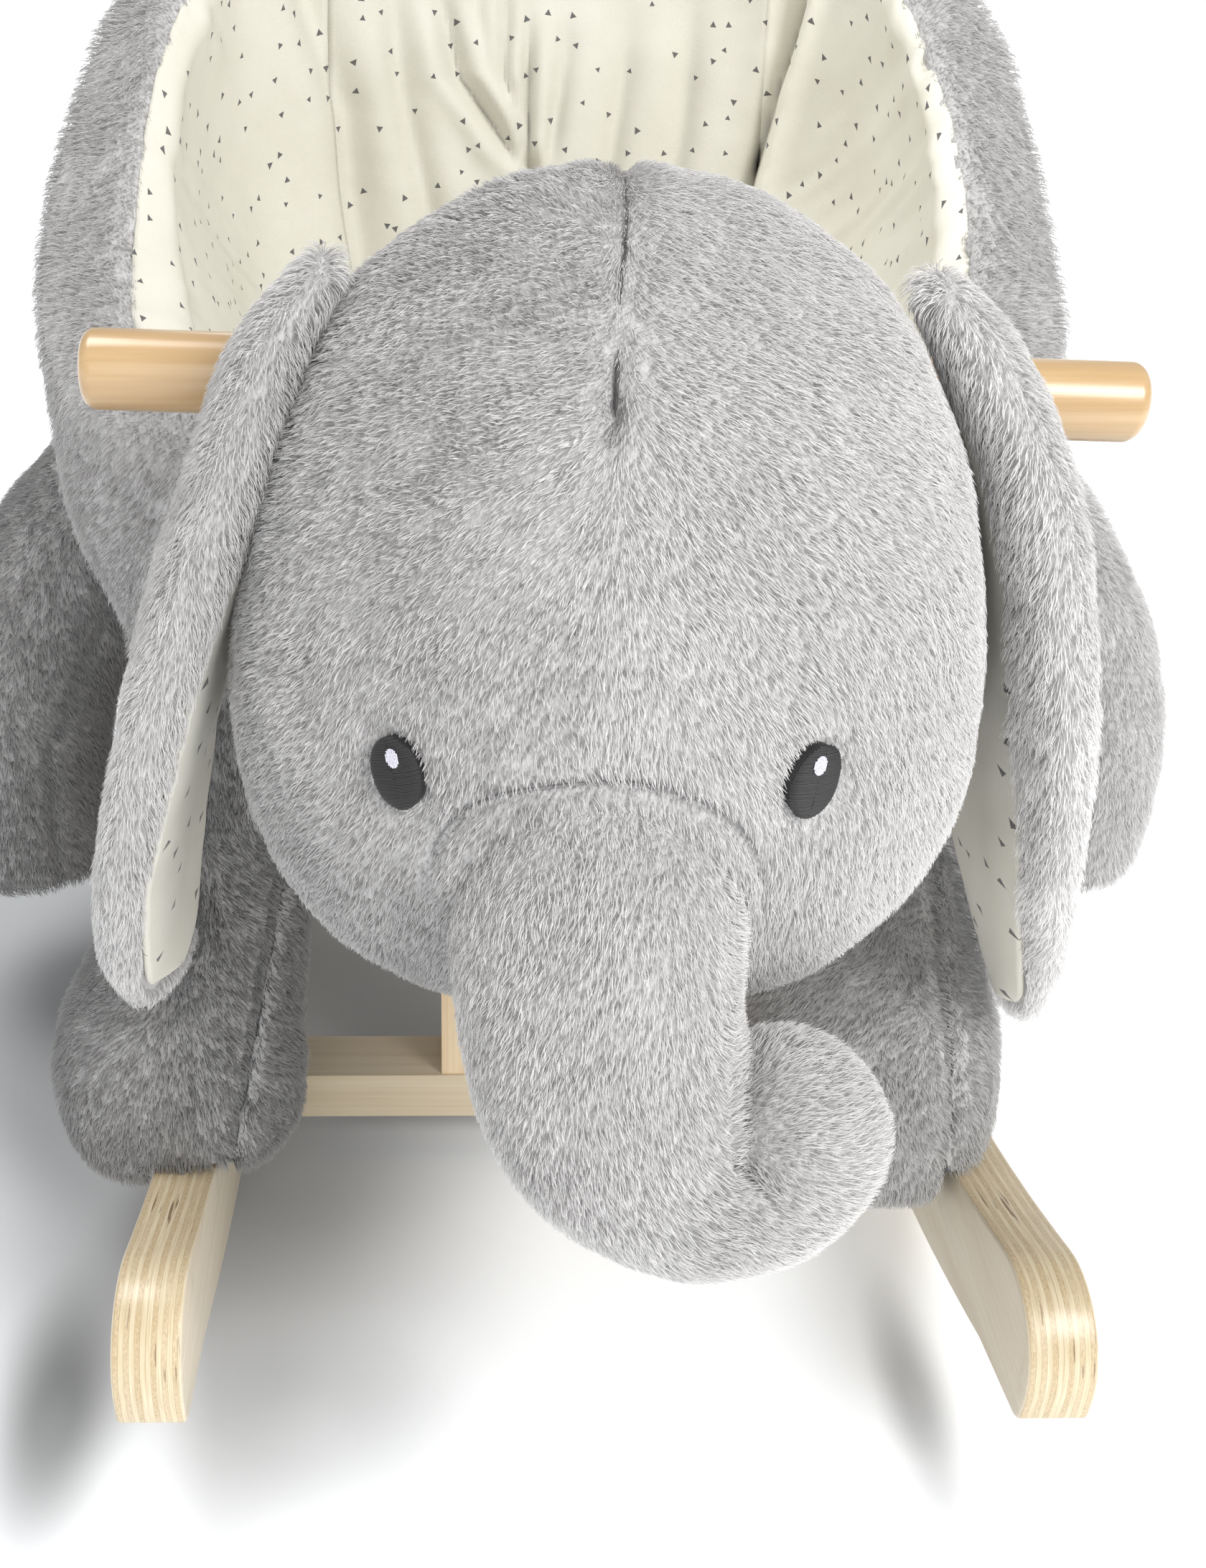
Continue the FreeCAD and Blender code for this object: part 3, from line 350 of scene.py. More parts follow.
def thread(name, base, fine=3000):
    m, nt, b = new_mat(name)
    co = obj_coords(nt)
    n = noise(nt, mapping(nt, co, (fine, fine, fine)), 1.0, 2.0)
    link(nt, ramp(nt, n.outputs[0], [(0.3, tuple(v * 0.7 for v in base)), (0.7, tuple(min(1.0, v * 1.35) for v in base))]), b.inputs["Base Color"])
    b.inputs["Roughness"].default_value = 0.5
    b.inputs["Sheen Weight"].default_value = 0.06
    link(nt, bump(nt, n.outputs[0], 0.2, 0.0001), b.inputs["Normal"])
    return m


THREAD_DARK = thread("ThreadCharcoal", (0.021, 0.020, 0.021))
THREAD_WHITE = thread("ThreadWhite", (0.62, 0.61, 0.69))
THREAD_GREY = thread("ThreadGrey", (0.30, 0.29, 0.30))
THREAD_CREAM = thread("ThreadCream", (0.74, 0.70, 0.60))


# ================================================================== numbers: noise, splines
def _h(ix, iy, iz, seed):
    h = (ix * 374761393 + iy * 668265263 + iz * 1442695041 + seed * 974711 + 1013904223) & 0xFFFFFFFF
    h = ((h ^ (h >> 13)) * 1274126177) & 0xFFFFFFFF
    h = ((h ^ (h >> 16)) * 668265263) & 0xFFFFFFFF
    return ((h ^ (h >> 15)) & 0xFFFFFF) / 16777216.0


def vnoise(p, scale, seed=0):
    """Smooth value noise in -1..1 at points p (mm), about scale mm from bump to bump."""
    q = p / scale
    i = np.floor(q).astype(np.int64)
    f = q - i
    f = f * f * (3 - 2 * f)
    out = 0.0
    for dx in (0, 1):
        wx = f[:, 0] if dx else 1 - f[:, 0]
        for dy in (0, 1):
            wy = f[:, 1] if dy else 1 - f[:, 1]
            for dz in (0, 1):
                wz = f[:, 2] if dz else 1 - f[:, 2]
                out = out + wx * wy * wz * _h(i[:, 0] + dx, i[:, 1] + dy, i[:, 2] + dz, seed)
    return out * 2 - 1


def vnoise3(p, scale, seed=0):
    return np.stack([vnoise(p, scale, seed + k) for k in (0, 17, 41)], 1)


def spline(xs, ys):
    """Natural cubic spline through the knots, for numbers or rows."""
    xs = np.asarray(xs, float)
    ys = np.asarray(ys, float)
    flat = ys.reshape(len(xs), -1)
    n, h = len(xs), np.diff(xs)
    a = np.zeros((n, n))
    r = np.zeros_like(flat)
    a[0, 0] = a[-1, -1] = 1
    for i in range(1, n - 1):
        a[i, i - 1], a[i, i], a[i, i + 1] = h[i - 1], 2 * (h[i - 1] + h[i]), h[i]
        r[i] = 6 * ((flat[i + 1] - flat[i]) / h[i] - (flat[i] - flat[i - 1]) / h[i - 1])
    m = np.linalg.solve(a, r)

    def f(x):
        x = np.asarray(x, float)
        k = np.clip(np.searchsorted(xs, x, side="right") - 1, 0, n - 2)
        t0, t1, hk = (xs[k + 1] - x), (x - xs[k]), h[k]
        t0, t1, hk = t0[..., None], t1[..., None], hk[..., None]
        v = (m[k] * t0 ** 3 + m[k + 1] * t1 ** 3) / (6 * hk) + (flat[k] / hk - m[k] * hk / 6) * t0 + (flat[k + 1] / hk - m[k + 1] * hk / 6) * t1
        return v.reshape(x.shape + ys.shape[1:])

    return f


def smooth(a, b, x):
    t = np.clip((x - a) / (b - a), 0, 1)
    return t * t * (3 - 2 * t)


def unit(v):
    return v / np.maximum(np.linalg.norm(v, axis=-1, keepdims=True), 1e-9)


# ================================================================== meshes
def make_object(name, verts, faces, mat, body="root", smooth_shade=True):
    me = bpy.data.meshes.new(name)
    me.from_pydata([tuple(v) for v in (np.asarray(verts) * MM)], [], faces)
    me.validate()
    me.update()
    ob = bpy.data.objects.new(name, me)
    scene.collection.objects.link(ob)
    if smooth_shade:
        me.polygons.foreach_set("use_smooth", np.ones(len(me.polygons), bool))
    if mat is not None:
        me.materials.append(mat)
    return ob


def coords(ob):
    me = ob.data
    a = np.empty(len(me.vertices) * 3)
    me.vertices.foreach_get("co", a)
    return a.reshape(-1, 3) / MM


def normals(ob):
    me = ob.data
    a = np.empty(len(me.vertices) * 3)
    me.vertex_normals.foreach_get("vector", a)
    return a.reshape(-1, 3)


def set_coords(ob, co):
    ob.data.vertices.foreach_set("co", (np.asarray(co) * MM).ravel())
    ob.data.update()


def grid_faces(nv, nu, wrap):
    faces = []
    m = nu if wrap else nu - 1
    for j in range(nv - 1):
        for i in range(m):
            a, b = j * nu + i, j * nu + (i + 1) % nu
            faces.append((a, b, b + nu, a + nu))
    return faces


def tube_rows(points, radii, nv=90, nu=64, e0=0.0, e1=0.8, power=2.0, end_power=0.5, roll=0.0):
    """Rows of a stuffed tube; e0 and e1 round the ends over that share of the end radius."""
    P = np.asarray(points, float)
    R = np.asarray([(r, r) if np.isscalar(r) else r for r in radii], float)
    t = np.concatenate([[0], np.cumsum(np.linalg.norm(np.diff(P, axis=0), axis=1))])
    fp, fr = spline(t, P), spline(t, R)
    ts = np.linspace(0, t[-1], nv)
    C, RR = fp(ts), fr(ts)
    D = unit(np.gradient(C, axis=0))
    cen, rad, dirs = list(C), list(RR), list(D)
    if e1:
        n = 14
        for k in range(1, n + 1):
            b = (math.pi / 2) * k / n
            cen.append(C[-1] + D[-1] * (e1 * RR[-1].mean() * math.sin(b)))
            rad.append(RR[-1] * max(math.cos(b), 0.0) ** end_power)
            dirs.append(D[-1])
    if e0:
        n = 14
        for k in range(1, n + 1):
            b = (math.pi / 2) * k / n
            cen.insert(0, C[0] - D[0] * (e0 * RR[0].mean() * math.sin(b)))
            rad.insert(0, RR[0] * max(math.cos(b), 0.0) ** end_power)
            dirs.insert(0, D[0])
    cen, rad, dirs = np.array(cen), np.array(rad), np.array(dirs)
    up = np.array([0.0, 1.0, 0.0]) if abs(dirs[0][2]) > 0.7 else np.array([0.0, 0.0, 1.0])
    u = unit(np.cross(up, dirs[0]))
    rows = []
    th = np.linspace(0, 2 * np.pi, nu, endpoint=False) + roll
    c, s = np.cos(th), np.sin(th)
    if power != 2.0:
        c, s = np.sign(c) * np.abs(c) ** (2 / power), np.sign(s) * np.abs(s) ** (2 / power)
    for k in range(len(cen)):
        u = unit(u - dirs[k] * np.dot(u, dirs[k]))
        w = np.cross(dirs[k], u)
        rows.append(cen[k] + np.outer(c * rad[k][0], u) + np.outer(s * rad[k][1], w))
    return np.array(rows), cen, dirs


def rows_mesh(name, rows, mat, close0=True, close1=True):
    nv, nu = rows.shape[:2]
    verts = rows.reshape(-1, 3)
    faces = grid_faces(nv, nu, True)
    extra = []
    if close0:
        extra.append(rows[0].mean(0))
        k = len(verts) + len(extra) - 1
        faces += [(k, (i + 1) % nu, i) for i in range(nu)]
    if close1:
        extra.append(rows[-1].mean(0))
        k = len(verts) + len(extra) - 1
        o = (nv - 1) * nu
        faces += [(k, o + i, o + (i + 1) % nu) for i in range(nu)]
    if extra:
        verts = np.concatenate([verts, np.array(extra)])
    ob = make_object(name, verts, faces, mat)
    outward(ob)
    return ob


def outward(ob):
    bm = bmesh.new()
    bm.from_mesh(ob.data)
    bmesh.ops.recalc_face_normals(bm, faces=bm.faces)
    bm.to_mesh(ob.data)
    bm.free()
    ob.data.update()


def tufts(ob, amount=1.0, nap=(0, 0, -1), size=7.0, seed=5, mask=None):
    """Sculpts the pile: short overlapping locks that run along the nap."""
    co, no = coords(ob), normals(ob)
    d = np.asarray(nap, float) if callable(nap) is False else None
    t = nap(co, no) if d is None else np.broadcast_to(d, co.shape)
    t = unit(t - no * (t * no).sum(1, keepdims=True) + 1e-6)
    q = co + vnoise3(co, 26, seed + 3) * 5
    # squeeze the noise's space along the nap, so that the locks are long
    along = (q * t).sum(1, keepdims=True) * t
    q2 = q - along * 0.62
    a = vnoise(q2, size, seed)
    b = vnoise(q2, size * 0.5, seed + 7)
    c = vnoise(co, size * 4.5, seed + 9)
    h = np.abs(a) ** 0.8 * np.sign(a) * 0.62 + b * 0.38 + c * 0.25
    if mask is not None:
        h = h * mask(co)
    set_coords(ob, co + no * (h * amount)[:, None] + t * (np.maximum(h, 0) * amount * 0.6)[:, None])


def down(co, no):
    return np.broadcast_to(np.array([0, 0, -1.0]), co.shape)


# ------------------------------------------------------------------ strands of the pile
STRANDS = []


def pile(name, ob, body, density, length, nap=down, seed=1, lift=0.42, width=0.21, clump=0.35, cell=3.2, mask=None, tone=1.0, swirl=0.35, mat=None, rough=None, thin=None, shade=None):
    """Short plush strands rooted on ob. density is strands per square millimetre."""
    me = ob.data
    me.calc_loop_triangles()
    n = len(me.loop_triangles)
    tri = np.empty(n * 3, dtype=np.int64)
    me.loop_triangles.foreach_get("vertices", tri)
    tri = tri.reshape(-1, 3)
    co, no = coords(ob), normals(ob)
    a, b, c = co[tri[:, 0]], co[tri[:, 1]], co[tri[:, 2]]
    area = 0.5 * np.linalg.norm(np.cross(b - a, c - a), axis=1)
    rng = np.random.RandomState(seed)
    k = density * 1.0
    total = int(area.sum() * k)
    pick = np.searchsorted(np.cumsum(area), rng.rand(total) * area.sum())
    pick = np.clip(pick, 0, n - 1)
    r1, r2 = np.sqrt(rng.rand(total)), rng.rand(total)
    w0, w1, w2 = 1 - r1, r1 * (1 - r2), r1 * r2
    tt = tri[pick]
    p = co[tt[:, 0]] * w0[:, None] + co[tt[:, 1]] * w1[:, None] + co[tt[:, 2]] * w2[:, None]
    m = unit(no[tt[:, 0]] * w0[:, None] + no[tt[:, 1]] * w1[:, None] + no[tt[:, 2]] * w2[:, None])
    L = np.full(total, float(length))
    if mask is not None:
        g = mask(p)
        keep = (g > 0.02) & (rng.rand(total) < np.clip(g * 3.0, 0, 1))
        p, m, g = p[keep], m[keep], g[keep]
        L = L[keep] * np.clip(g, 0.15, 1.6)
    if thin is not None:
        keep = rng.rand(len(p)) < thin(p)
        p, m, L = p[keep], m[keep], L[keep]
    total = len(p)
    if total == 0:
        return None
    ru = rough(p) if callable(rough) else np.full(total, 0.4 if rough is None else float(rough))
    t = nap(p, m)
    t = t + vnoise3(p, 34, seed + 11) * swirl + vnoise3(p, 9, seed + 23) * swirl * 0.75
    t = unit(t - m * (t * m).sum(1, keepdims=True) + 1e-6)
    side = np.cross(m, t)
    L = L * (0.78 + 0.44 * rng.rand(total)) * (1 + 0.12 * vnoise(p, 16, seed + 5))
    L = L * (1 - 0.12 * ru)
    up = np.clip((lift + 0.22 * ru) * (1 + 0.35 * vnoise(p, 11, seed + 31) + 0.25 * (rng.rand(total) - 0.5)), 0.05, 0.95)
    sw = (rng.rand(total) - 0.5) * 0.5
    tip = p + m * (up * L)[:, None] + t * (np.sqrt(np.maximum(1 - up * up, 0.05)) * L)[:, None] + side * (sw * L)[:, None]
    # tips gather into small locks: each is drawn to the nearest of a jittered lattice of points
    if clump:
        q = tip / cell
        i0 = np.floor(q).astype(np.int64)
        best = np.full(total, 1e9)
        near = np.zeros_like(q)
        for dx in (-1, 0, 1):
            for dy in (-1, 0, 1):
                for dz in (-1, 0, 1):
                    ii = i0 + np.array([dx, dy, dz])
                    pt = ii + np.stack([_h(ii[:, 0], ii[:, 1], ii[:, 2], seed + 101 + s) for s in (0, 1, 2)], 1)
                    dd = ((q - pt) ** 2).sum(1)
                    sel = dd < best
                    best[sel] = dd[sel]
                    near[sel] = pt[sel]
        pull = near * cell - tip
        pull = pull - m * (pull * m).sum(1, keepdims=True) * 0.85
        amt = clump * (0.35 + 1.3 * ru) * (0.55 + 0.45 * rng.rand(total))
        tip = tip + pull * amt[:, None]
    mid = p + (tip - p) * 0.46 + m * (0.17 * L)[:, None]
    pts = np.stack([p - m * 0.4, mid, tip], 1)
    hc = bpy.data.hair_curves.new(name)
    hc.add_curves([3] * total)
    hc.attributes["position"].data.foreach_set("vector", (pts * MM).astype(np.float32).ravel())
    rad = hc.attributes.get("radius") or hc.attributes.new("radius", "FLOAT", "POINT")
    wd = width * (0.75 + 0.5 * rng.rand(total))
    prof = np.array([1.0, 0.9, 0.22])
    rad.data.foreach_set("value", (wd[:, None] * prof[None, :] * MM * 0.5).astype(np.float32).ravel())
    # the tone varies at random; rough pile is painted a little darker, and shade(p) paints light and shade into the
    # strands
    tn = (tone - 0.06 * ru) * (1 + (0.07 + 0.17 * ru) * (2 * rng.rand(total) - 1)) * (1 + (0.02 + 0.15 * ru) * vnoise(p, 3.2, seed + 59) + (0.02 + 0.05 * ru) * vnoise(p, 14, seed + 61) + 0.04 * vnoise(p, 60, seed + 67))
    if shade is not None:
        tn = tn * shade(p)
    at = hc.attributes.new("tone", "FLOAT_COLOR", "CURVE")
    col = np.stack([tn, tn, tn * 1.0, np.ones(total)], 1)
    at.data.foreach_set("color", col.astype(np.float32).ravel())
    hc.materials.append(mat or FUR_HAIR)
    hob = bpy.data.objects.new(name, hc)
    scene.collection.objects.link(hob)
    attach(hob, body)
    STRANDS.append((name, total))
    return hob


# ================================================================== wooden frame
R, H = 770.0, 47.0
LT, RN, KINK, CZ, RC = 316.0, 32.0, 274.0, 59.0, 6.0


def rail_bottom(y):
    return R - math.sqrt(R * R - y * y)


def rail_top(y):
    return R - math.sqrt((R - H) ** 2 - y * y)


def rocker_points():
    """The rocker's outline in (y, z), front half first, as in the drawing."""
    q = R - H
    ny = LT - RN
    nz = R - math.sqrt((q + RN) ** 2 - ny * ny)
    a0 = 0.0
    a1 = math.atan2(R - nz, -ny)
    half = []
    for k in range(25):
        y = KINK * k / 24
        half.append((y, rail_bottom(y)))
    kz = rail_bottom(KINK)
    dy, dz = LT - KINK, CZ - kz
    ln = math.hypot(dy, dz)
    uy, uz = dy / ln, dz / ln
    h = (math.pi / 2 - math.atan2(uz, uy)) / 2
    back = RC * math.tan(h)
    a = (LT - back * uy, CZ - back * uz)
    c = (LT - RC, CZ + back)
    s0, s1 = math.atan2(a[1] - c[1], a[0] - c[0]), 0.0
    for k in range(7):
        s = s0 + (s1 - s0) * k / 6
        half.append((c[0] + RC * math.cos(s), c[1] + RC * math.sin(s)))
    for k in range(15):
        s = a0 + (a1 - a0) * k / 14
        half.append((ny + RN * math.cos(s), nz + RN * math.sin(s)))
    ty = half[-1][0]
    for k in range(1, 25):
        y = ty * (1 - k / 24)
        half.append((y, rail_top(y)))
    pts = [(-y, z) for y, z in half]
    mirror = [(y, z) for y, z in reversed(half)]
    out = []
    for p in pts + mirror:
        if not out or math.hypot(p[0] - out[-1][0], p[1] - out[-1][1]) > 0.05:
            out.append(p)
    if math.hypot(out[0][0] - out[-1][0], out[0][1] - out[-1][1]) < 0.05:
        out.pop()
    return out


def rounded_prism(name, pts, x0, x1, mat, r=1.6):
    """A flat board of that outline with softly rounded edges; its local X runs from its middle."""
    mid = (x0 + x1) / 2
    bm = bmesh.new()
    va = [bm.verts.new(((x0 - mid) * MM, y * MM, z * MM)) for y, z in pts]
    vb = [bm.verts.new(((x1 - mid) * MM, y * MM, z * MM)) for y, z in pts]
    bm.faces.new(va)
    bm.faces.new(list(reversed(vb)))
    n = len(pts)
    for i in range(n):
        bm.faces.new((va[(i + 1) % n], va[i], vb[i], vb[(i + 1) % n]))
    bmesh.ops.recalc_face_normals(bm, faces=bm.faces)
    rim = [e for e in bm.edges if abs(e.verts[0].co.x - e.verts[1].co.x) < 1e-7]
    bmesh.ops.bevel(bm, geom=rim, offset=r * MM, segments=3, profile=0.5, affect="EDGES", clamp_overlap=True)
    caps = [f for f in bm.faces if len(f.verts) > 8]
    bmesh.ops.triangulate(bm, faces=caps)
    me = bpy.data.meshes.new(name)
    bm.to_mesh(me)
    bm.free()
    ob = bpy.data.objects.new(name, me)
    scene.collection.objects.link(ob)
    ob.location = (mid * MM, 0, 0)
    for f in me.polygons:
        f.use_smooth = True
    me.materials.append(mat)
    return ob


def cut_bores(ob, xface, side):
    """The bolt heads' bores in a rocker's outer face."""
    for y in (-119.0, 119.0):
        me = bpy.data.meshes.new("bore")
        bm = bmesh.new()
        bmesh.ops.create_cone(bm, cap_ends=True, segments=40, radius1=7.6 * MM, radius2=7.6 * MM, depth=10.0 * MM)
        bm.to_mesh(me)
        bm.free()
        t = bpy.data.objects.new("bore", me)
        scene.collection.objects.link(t)
        t.rotation_euler = (0, math.pi / 2, 0)
        t.location = (xface * MM, y * MM, 37.0 * MM)
        m = ob.modifiers.new("bore", "BOOLEAN")
        m.operation = "DIFFERENCE"
        m.solver = "EXACT"
        m.object = t
        bpy.context.view_layer.update()
        dg = bpy.context.evaluated_depsgraph_get()
        new = bpy.data.meshes.new_from_object(ob.evaluated_get(dg))
        ob.modifiers.clear()
        ob.data = new
        bpy.data.objects.remove(t)
    ob.data.materials.clear()
    ob.data.materials.append(PLY)
    sharpen(ob, 35)


def sharpen(ob, deg):
    me = ob.data
    me.polygons.foreach_set("use_smooth", np.ones(len(me.polygons), bool))
    bm = bmesh.new()
    bm.from_mesh(me)
    lim = math.radians(deg)
    for e in bm.edges:
        if len(e.link_faces) == 2:
            e.smooth = e.calc_face_angle(0.0) < lim
    bm.to_mesh(me)
    bm.free()
    me.update()


outline = rocker_points()
for word, side in (("right", -1), ("left", 1)):
    xo, xi = side * 172.5, side * 147.5
    ob = rounded_prism("rocker_board_" + word, outline, min(xo, xi), max(xo, xi), PLY, 1.5)
    cut_bores(ob, xo, side)
    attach(ob, "root")
    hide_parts("rocker_" + word)


def soft_edges(ob, width, mat, deg=40):
    """A carried-over solid keeps its shape; its hard edges catch the light."""
    ob.data.materials.clear()
    ob.data.materials.append(mat)
    b = ob.modifiers.new("edge", "BEVEL")
    b.width = width * MM
    b.segments = 2
    b.limit_method = "ANGLE"
    b.angle_limit = math.radians(deg)
    b.harden_normals = False


def repaint(name, mat):
    o = nodes[name]
    o.data.materials.clear()
    o.data.materials.append(mat)


for n in ("front_crossbar", "rear_crossbar"):
    soft_edges(nodes[n], 1.0, PINE, 60)
for n in ("front_post", "rear_post"):
    soft_edges(nodes[n], 1.2, POST, 60)
for n in ("seat_base_board", "side_board_right", "side_board_left", "back_board", "neck_block"):
    repaint(n, BOARD)
repaint("crossbar_dowels", PINE)
for n in ("crossbar_bolts", "crossbar_barrel_nuts", "post_screws", "base_screws", "wall_screws", "neck_screws", "handle_screw"):
    repaint(n, STEEL)


def handle():
    """Turned dowel with well rounded ends, lacquered."""
    hy, hz, half, r, e = -168.0, 386.0, 168.0, 12.5, 4.5
    prof = []
    for k in range(10):
        s = math.pi / 2 * k / 9
        prof.append((-half + e - e * math.cos(s), r - e + e * math.sin(s)))
    prof = [(-half, 0.02)] + prof
    n = 24
    inner = [(-half + e + (2 * half - 2 * e) * k / n, r) for k in range(1, n)]
    prof = prof + inner + [(-x, q) for x, q in reversed(prof)]
    t = math.radians(2.0)
    ax = np.array([math.cos(t), 0, -math.sin(t)])
    up = np.array([math.sin(t), 0, math.cos(t)])
    th = np.linspace(0, 2 * np.pi, 56, endpoint=False)
    rows = []
    for x, q in prof:
        x = x - 2.5 * smooth(120, 168, x)
        rows.append(ax * x + np.outer(np.cos(th) * q, [0, 1, 0]) + np.outer(np.sin(th) * q, up))
    ob = rows_mesh("handle_dowel", np.array(rows), BEECH)
    co = coords(ob)
    set_coords(ob, co + np.array([0, hy, hz]))
    sharpen(ob, 50)
    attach(ob, "root")
    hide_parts("handle")


handle()

# ================================================================== bucket body
PX = -11.0
TW = 211.0
OUT = np.array([(186, .62, -108, 150, 2.3), (200, .80, -134, 178, 2.6), (232, .915, -140, 196, 2.8), (285, .99, -134, 203, 3.0), (340, 1.0, -132, 205, 3.0),
                (400, .99, -129, 206, 3.0), (450, .917, -122, 203, 2.8), (505, .815, -110, 197, 2.6), (540, .73, -92, 189, 2.5)], float)
CAV = np.array([(262, 92, -84, 88, 2.6), (290, 108, -94, 104, 2.8), (330, 132, -100, 122, 3.0), (380, 152, -103, 134, 3.0), (440, 150, -104, 146, 2.8),
                (505, 134, -100, 160, 2.6), (545, 124, -96, 170, 2.5)], float)
RIM = np.array([(-190, 262), (-150, 292), (-118, 330), (-80, 356), (-40, 373), (0, 396), (40, 431), (80, 466), (120, 488), (160, 499), (215, 500), (260, 498)], float)
out_f, cav_f, rim_f = spline(OUT[:, 0], OUT[:, 1:]), spline(CAV[:, 0], CAV[:, 1:]), spline(RIM[:, 0], RIM[:, 1])


def radial(psi, a, yf, yr, n):
    cy, b = (yf + yr) / 2, (yr - yf) / 2
    r = (np.abs(np.cos(psi) / a) ** n + np.abs(np.sin(psi) / b) ** n) ** (-1.0 / n)
    return PX + r * np.cos(psi), cy + r * np.sin(psi)


def outer(psi, z):
    v = out_f(z)
    return radial(psi, TW * v[..., 0], v[..., 1], v[..., 2], v[..., 3])


def inner(psi, z):
    v = cav_f(np.maximum(z, 262.0))
    return radial(psi, v[..., 0], v[..., 1], v[..., 2], v[..., 3])


NPSI = 400
PSI = np.linspace(0, 2 * np.pi, NPSI, endpoint=False)
ROLL = 17.0


def rim_height(psi):
    z = np.full(psi.shape, 400.0)
    for _ in range(60):
        xo, yo = outer(psi, z)
        xi, yi = inner(psi, z)
        z = 0.6 * z + 0.4 * rim_f((yo + yi) / 2)
    return z


ZR = rim_height(PSI)
# the rim runs lower behind the head
SEAM = np.radians(np.interp(np.degrees(PSI), [0, 9, 19, 45, 90, 135, 163, 172, 180, 189, 204, 225, 270, 315, 342, 350, 360],
                            [131, 143, 149, 150, 138, 145, 137, 131, 127, 119, 98, 100, 104, 107, 113, 122, 131]))


def roll_row(psi, zt, alpha, grow=0.0):
    """A row of the rim's roll; alpha 0 is the outer side, pi the inner side."""
    zb = zt - ROLL
    xo, yo = outer(psi, zb)
    xi, yi = inner(psi, zb)
    o, i = np.stack([xo, yo], 1), np.stack([xi, yi], 1)
    m, w = (o + i) / 2, (o - i) / 2
    alpha = np.broadcast_to(alpha, psi.shape)
    xy = m + w * np.cos(alpha)[:, None]
    z = zb + (ROLL + grow) * np.sin(alpha)
    return np.concatenate([xy, z[:, None]], 1)


def tub_skin_rows():
    rows = []
    v0 = out_f(np.array([186.0]))[0]
    for s in np.linspace(0.03, 1.0, 22):
        a, yf, yr, n = TW * v0[0], v0[1], v0[2], v0[3]
        x, y = radial(PSI, a, yf, yr, n)
        cy = (yf + yr) / 2
        zz = 183.0 + 3.0 * s ** 4
        rows.append(np.stack([PX + (x - PX) * s, cy + (y - cy) * s, np.full(NPSI, zz)], 1))
    nz = 84
    for s in np.linspace(0, 1, nz)[1:]:
        z = 186.0 + (ZR - ROLL - 186.0) * s ** 1.25
        x, y = outer(PSI, z)
        rows.append(np.stack([x, y, z], 1))
    for a in np.linspace(0, 1, 16)[1:]:
        rows.append(roll_row(PSI, ZR, SEAM * a))
    # the cloth turns under at the seam
    last = rows[-1]
    rows.append(last + np.array([0, 0, -2.5]) + unit(roll_row(PSI, ZR, SEAM + 0.12) - last) * 0.8)
    return np.array(rows)


def panel_split(psi):
    """Which fur panel a direction belongs to: chest, rump, right flank or left flank."""
    d = np.degrees(psi) % 360
    chest = (d > 238) & (d < 302)
    rump = (d > 52) & (d < 128)
    return np.where(chest, 0, np.where(rump, 1, np.where((d >= 128) & (d <= 238), 2, 3)))


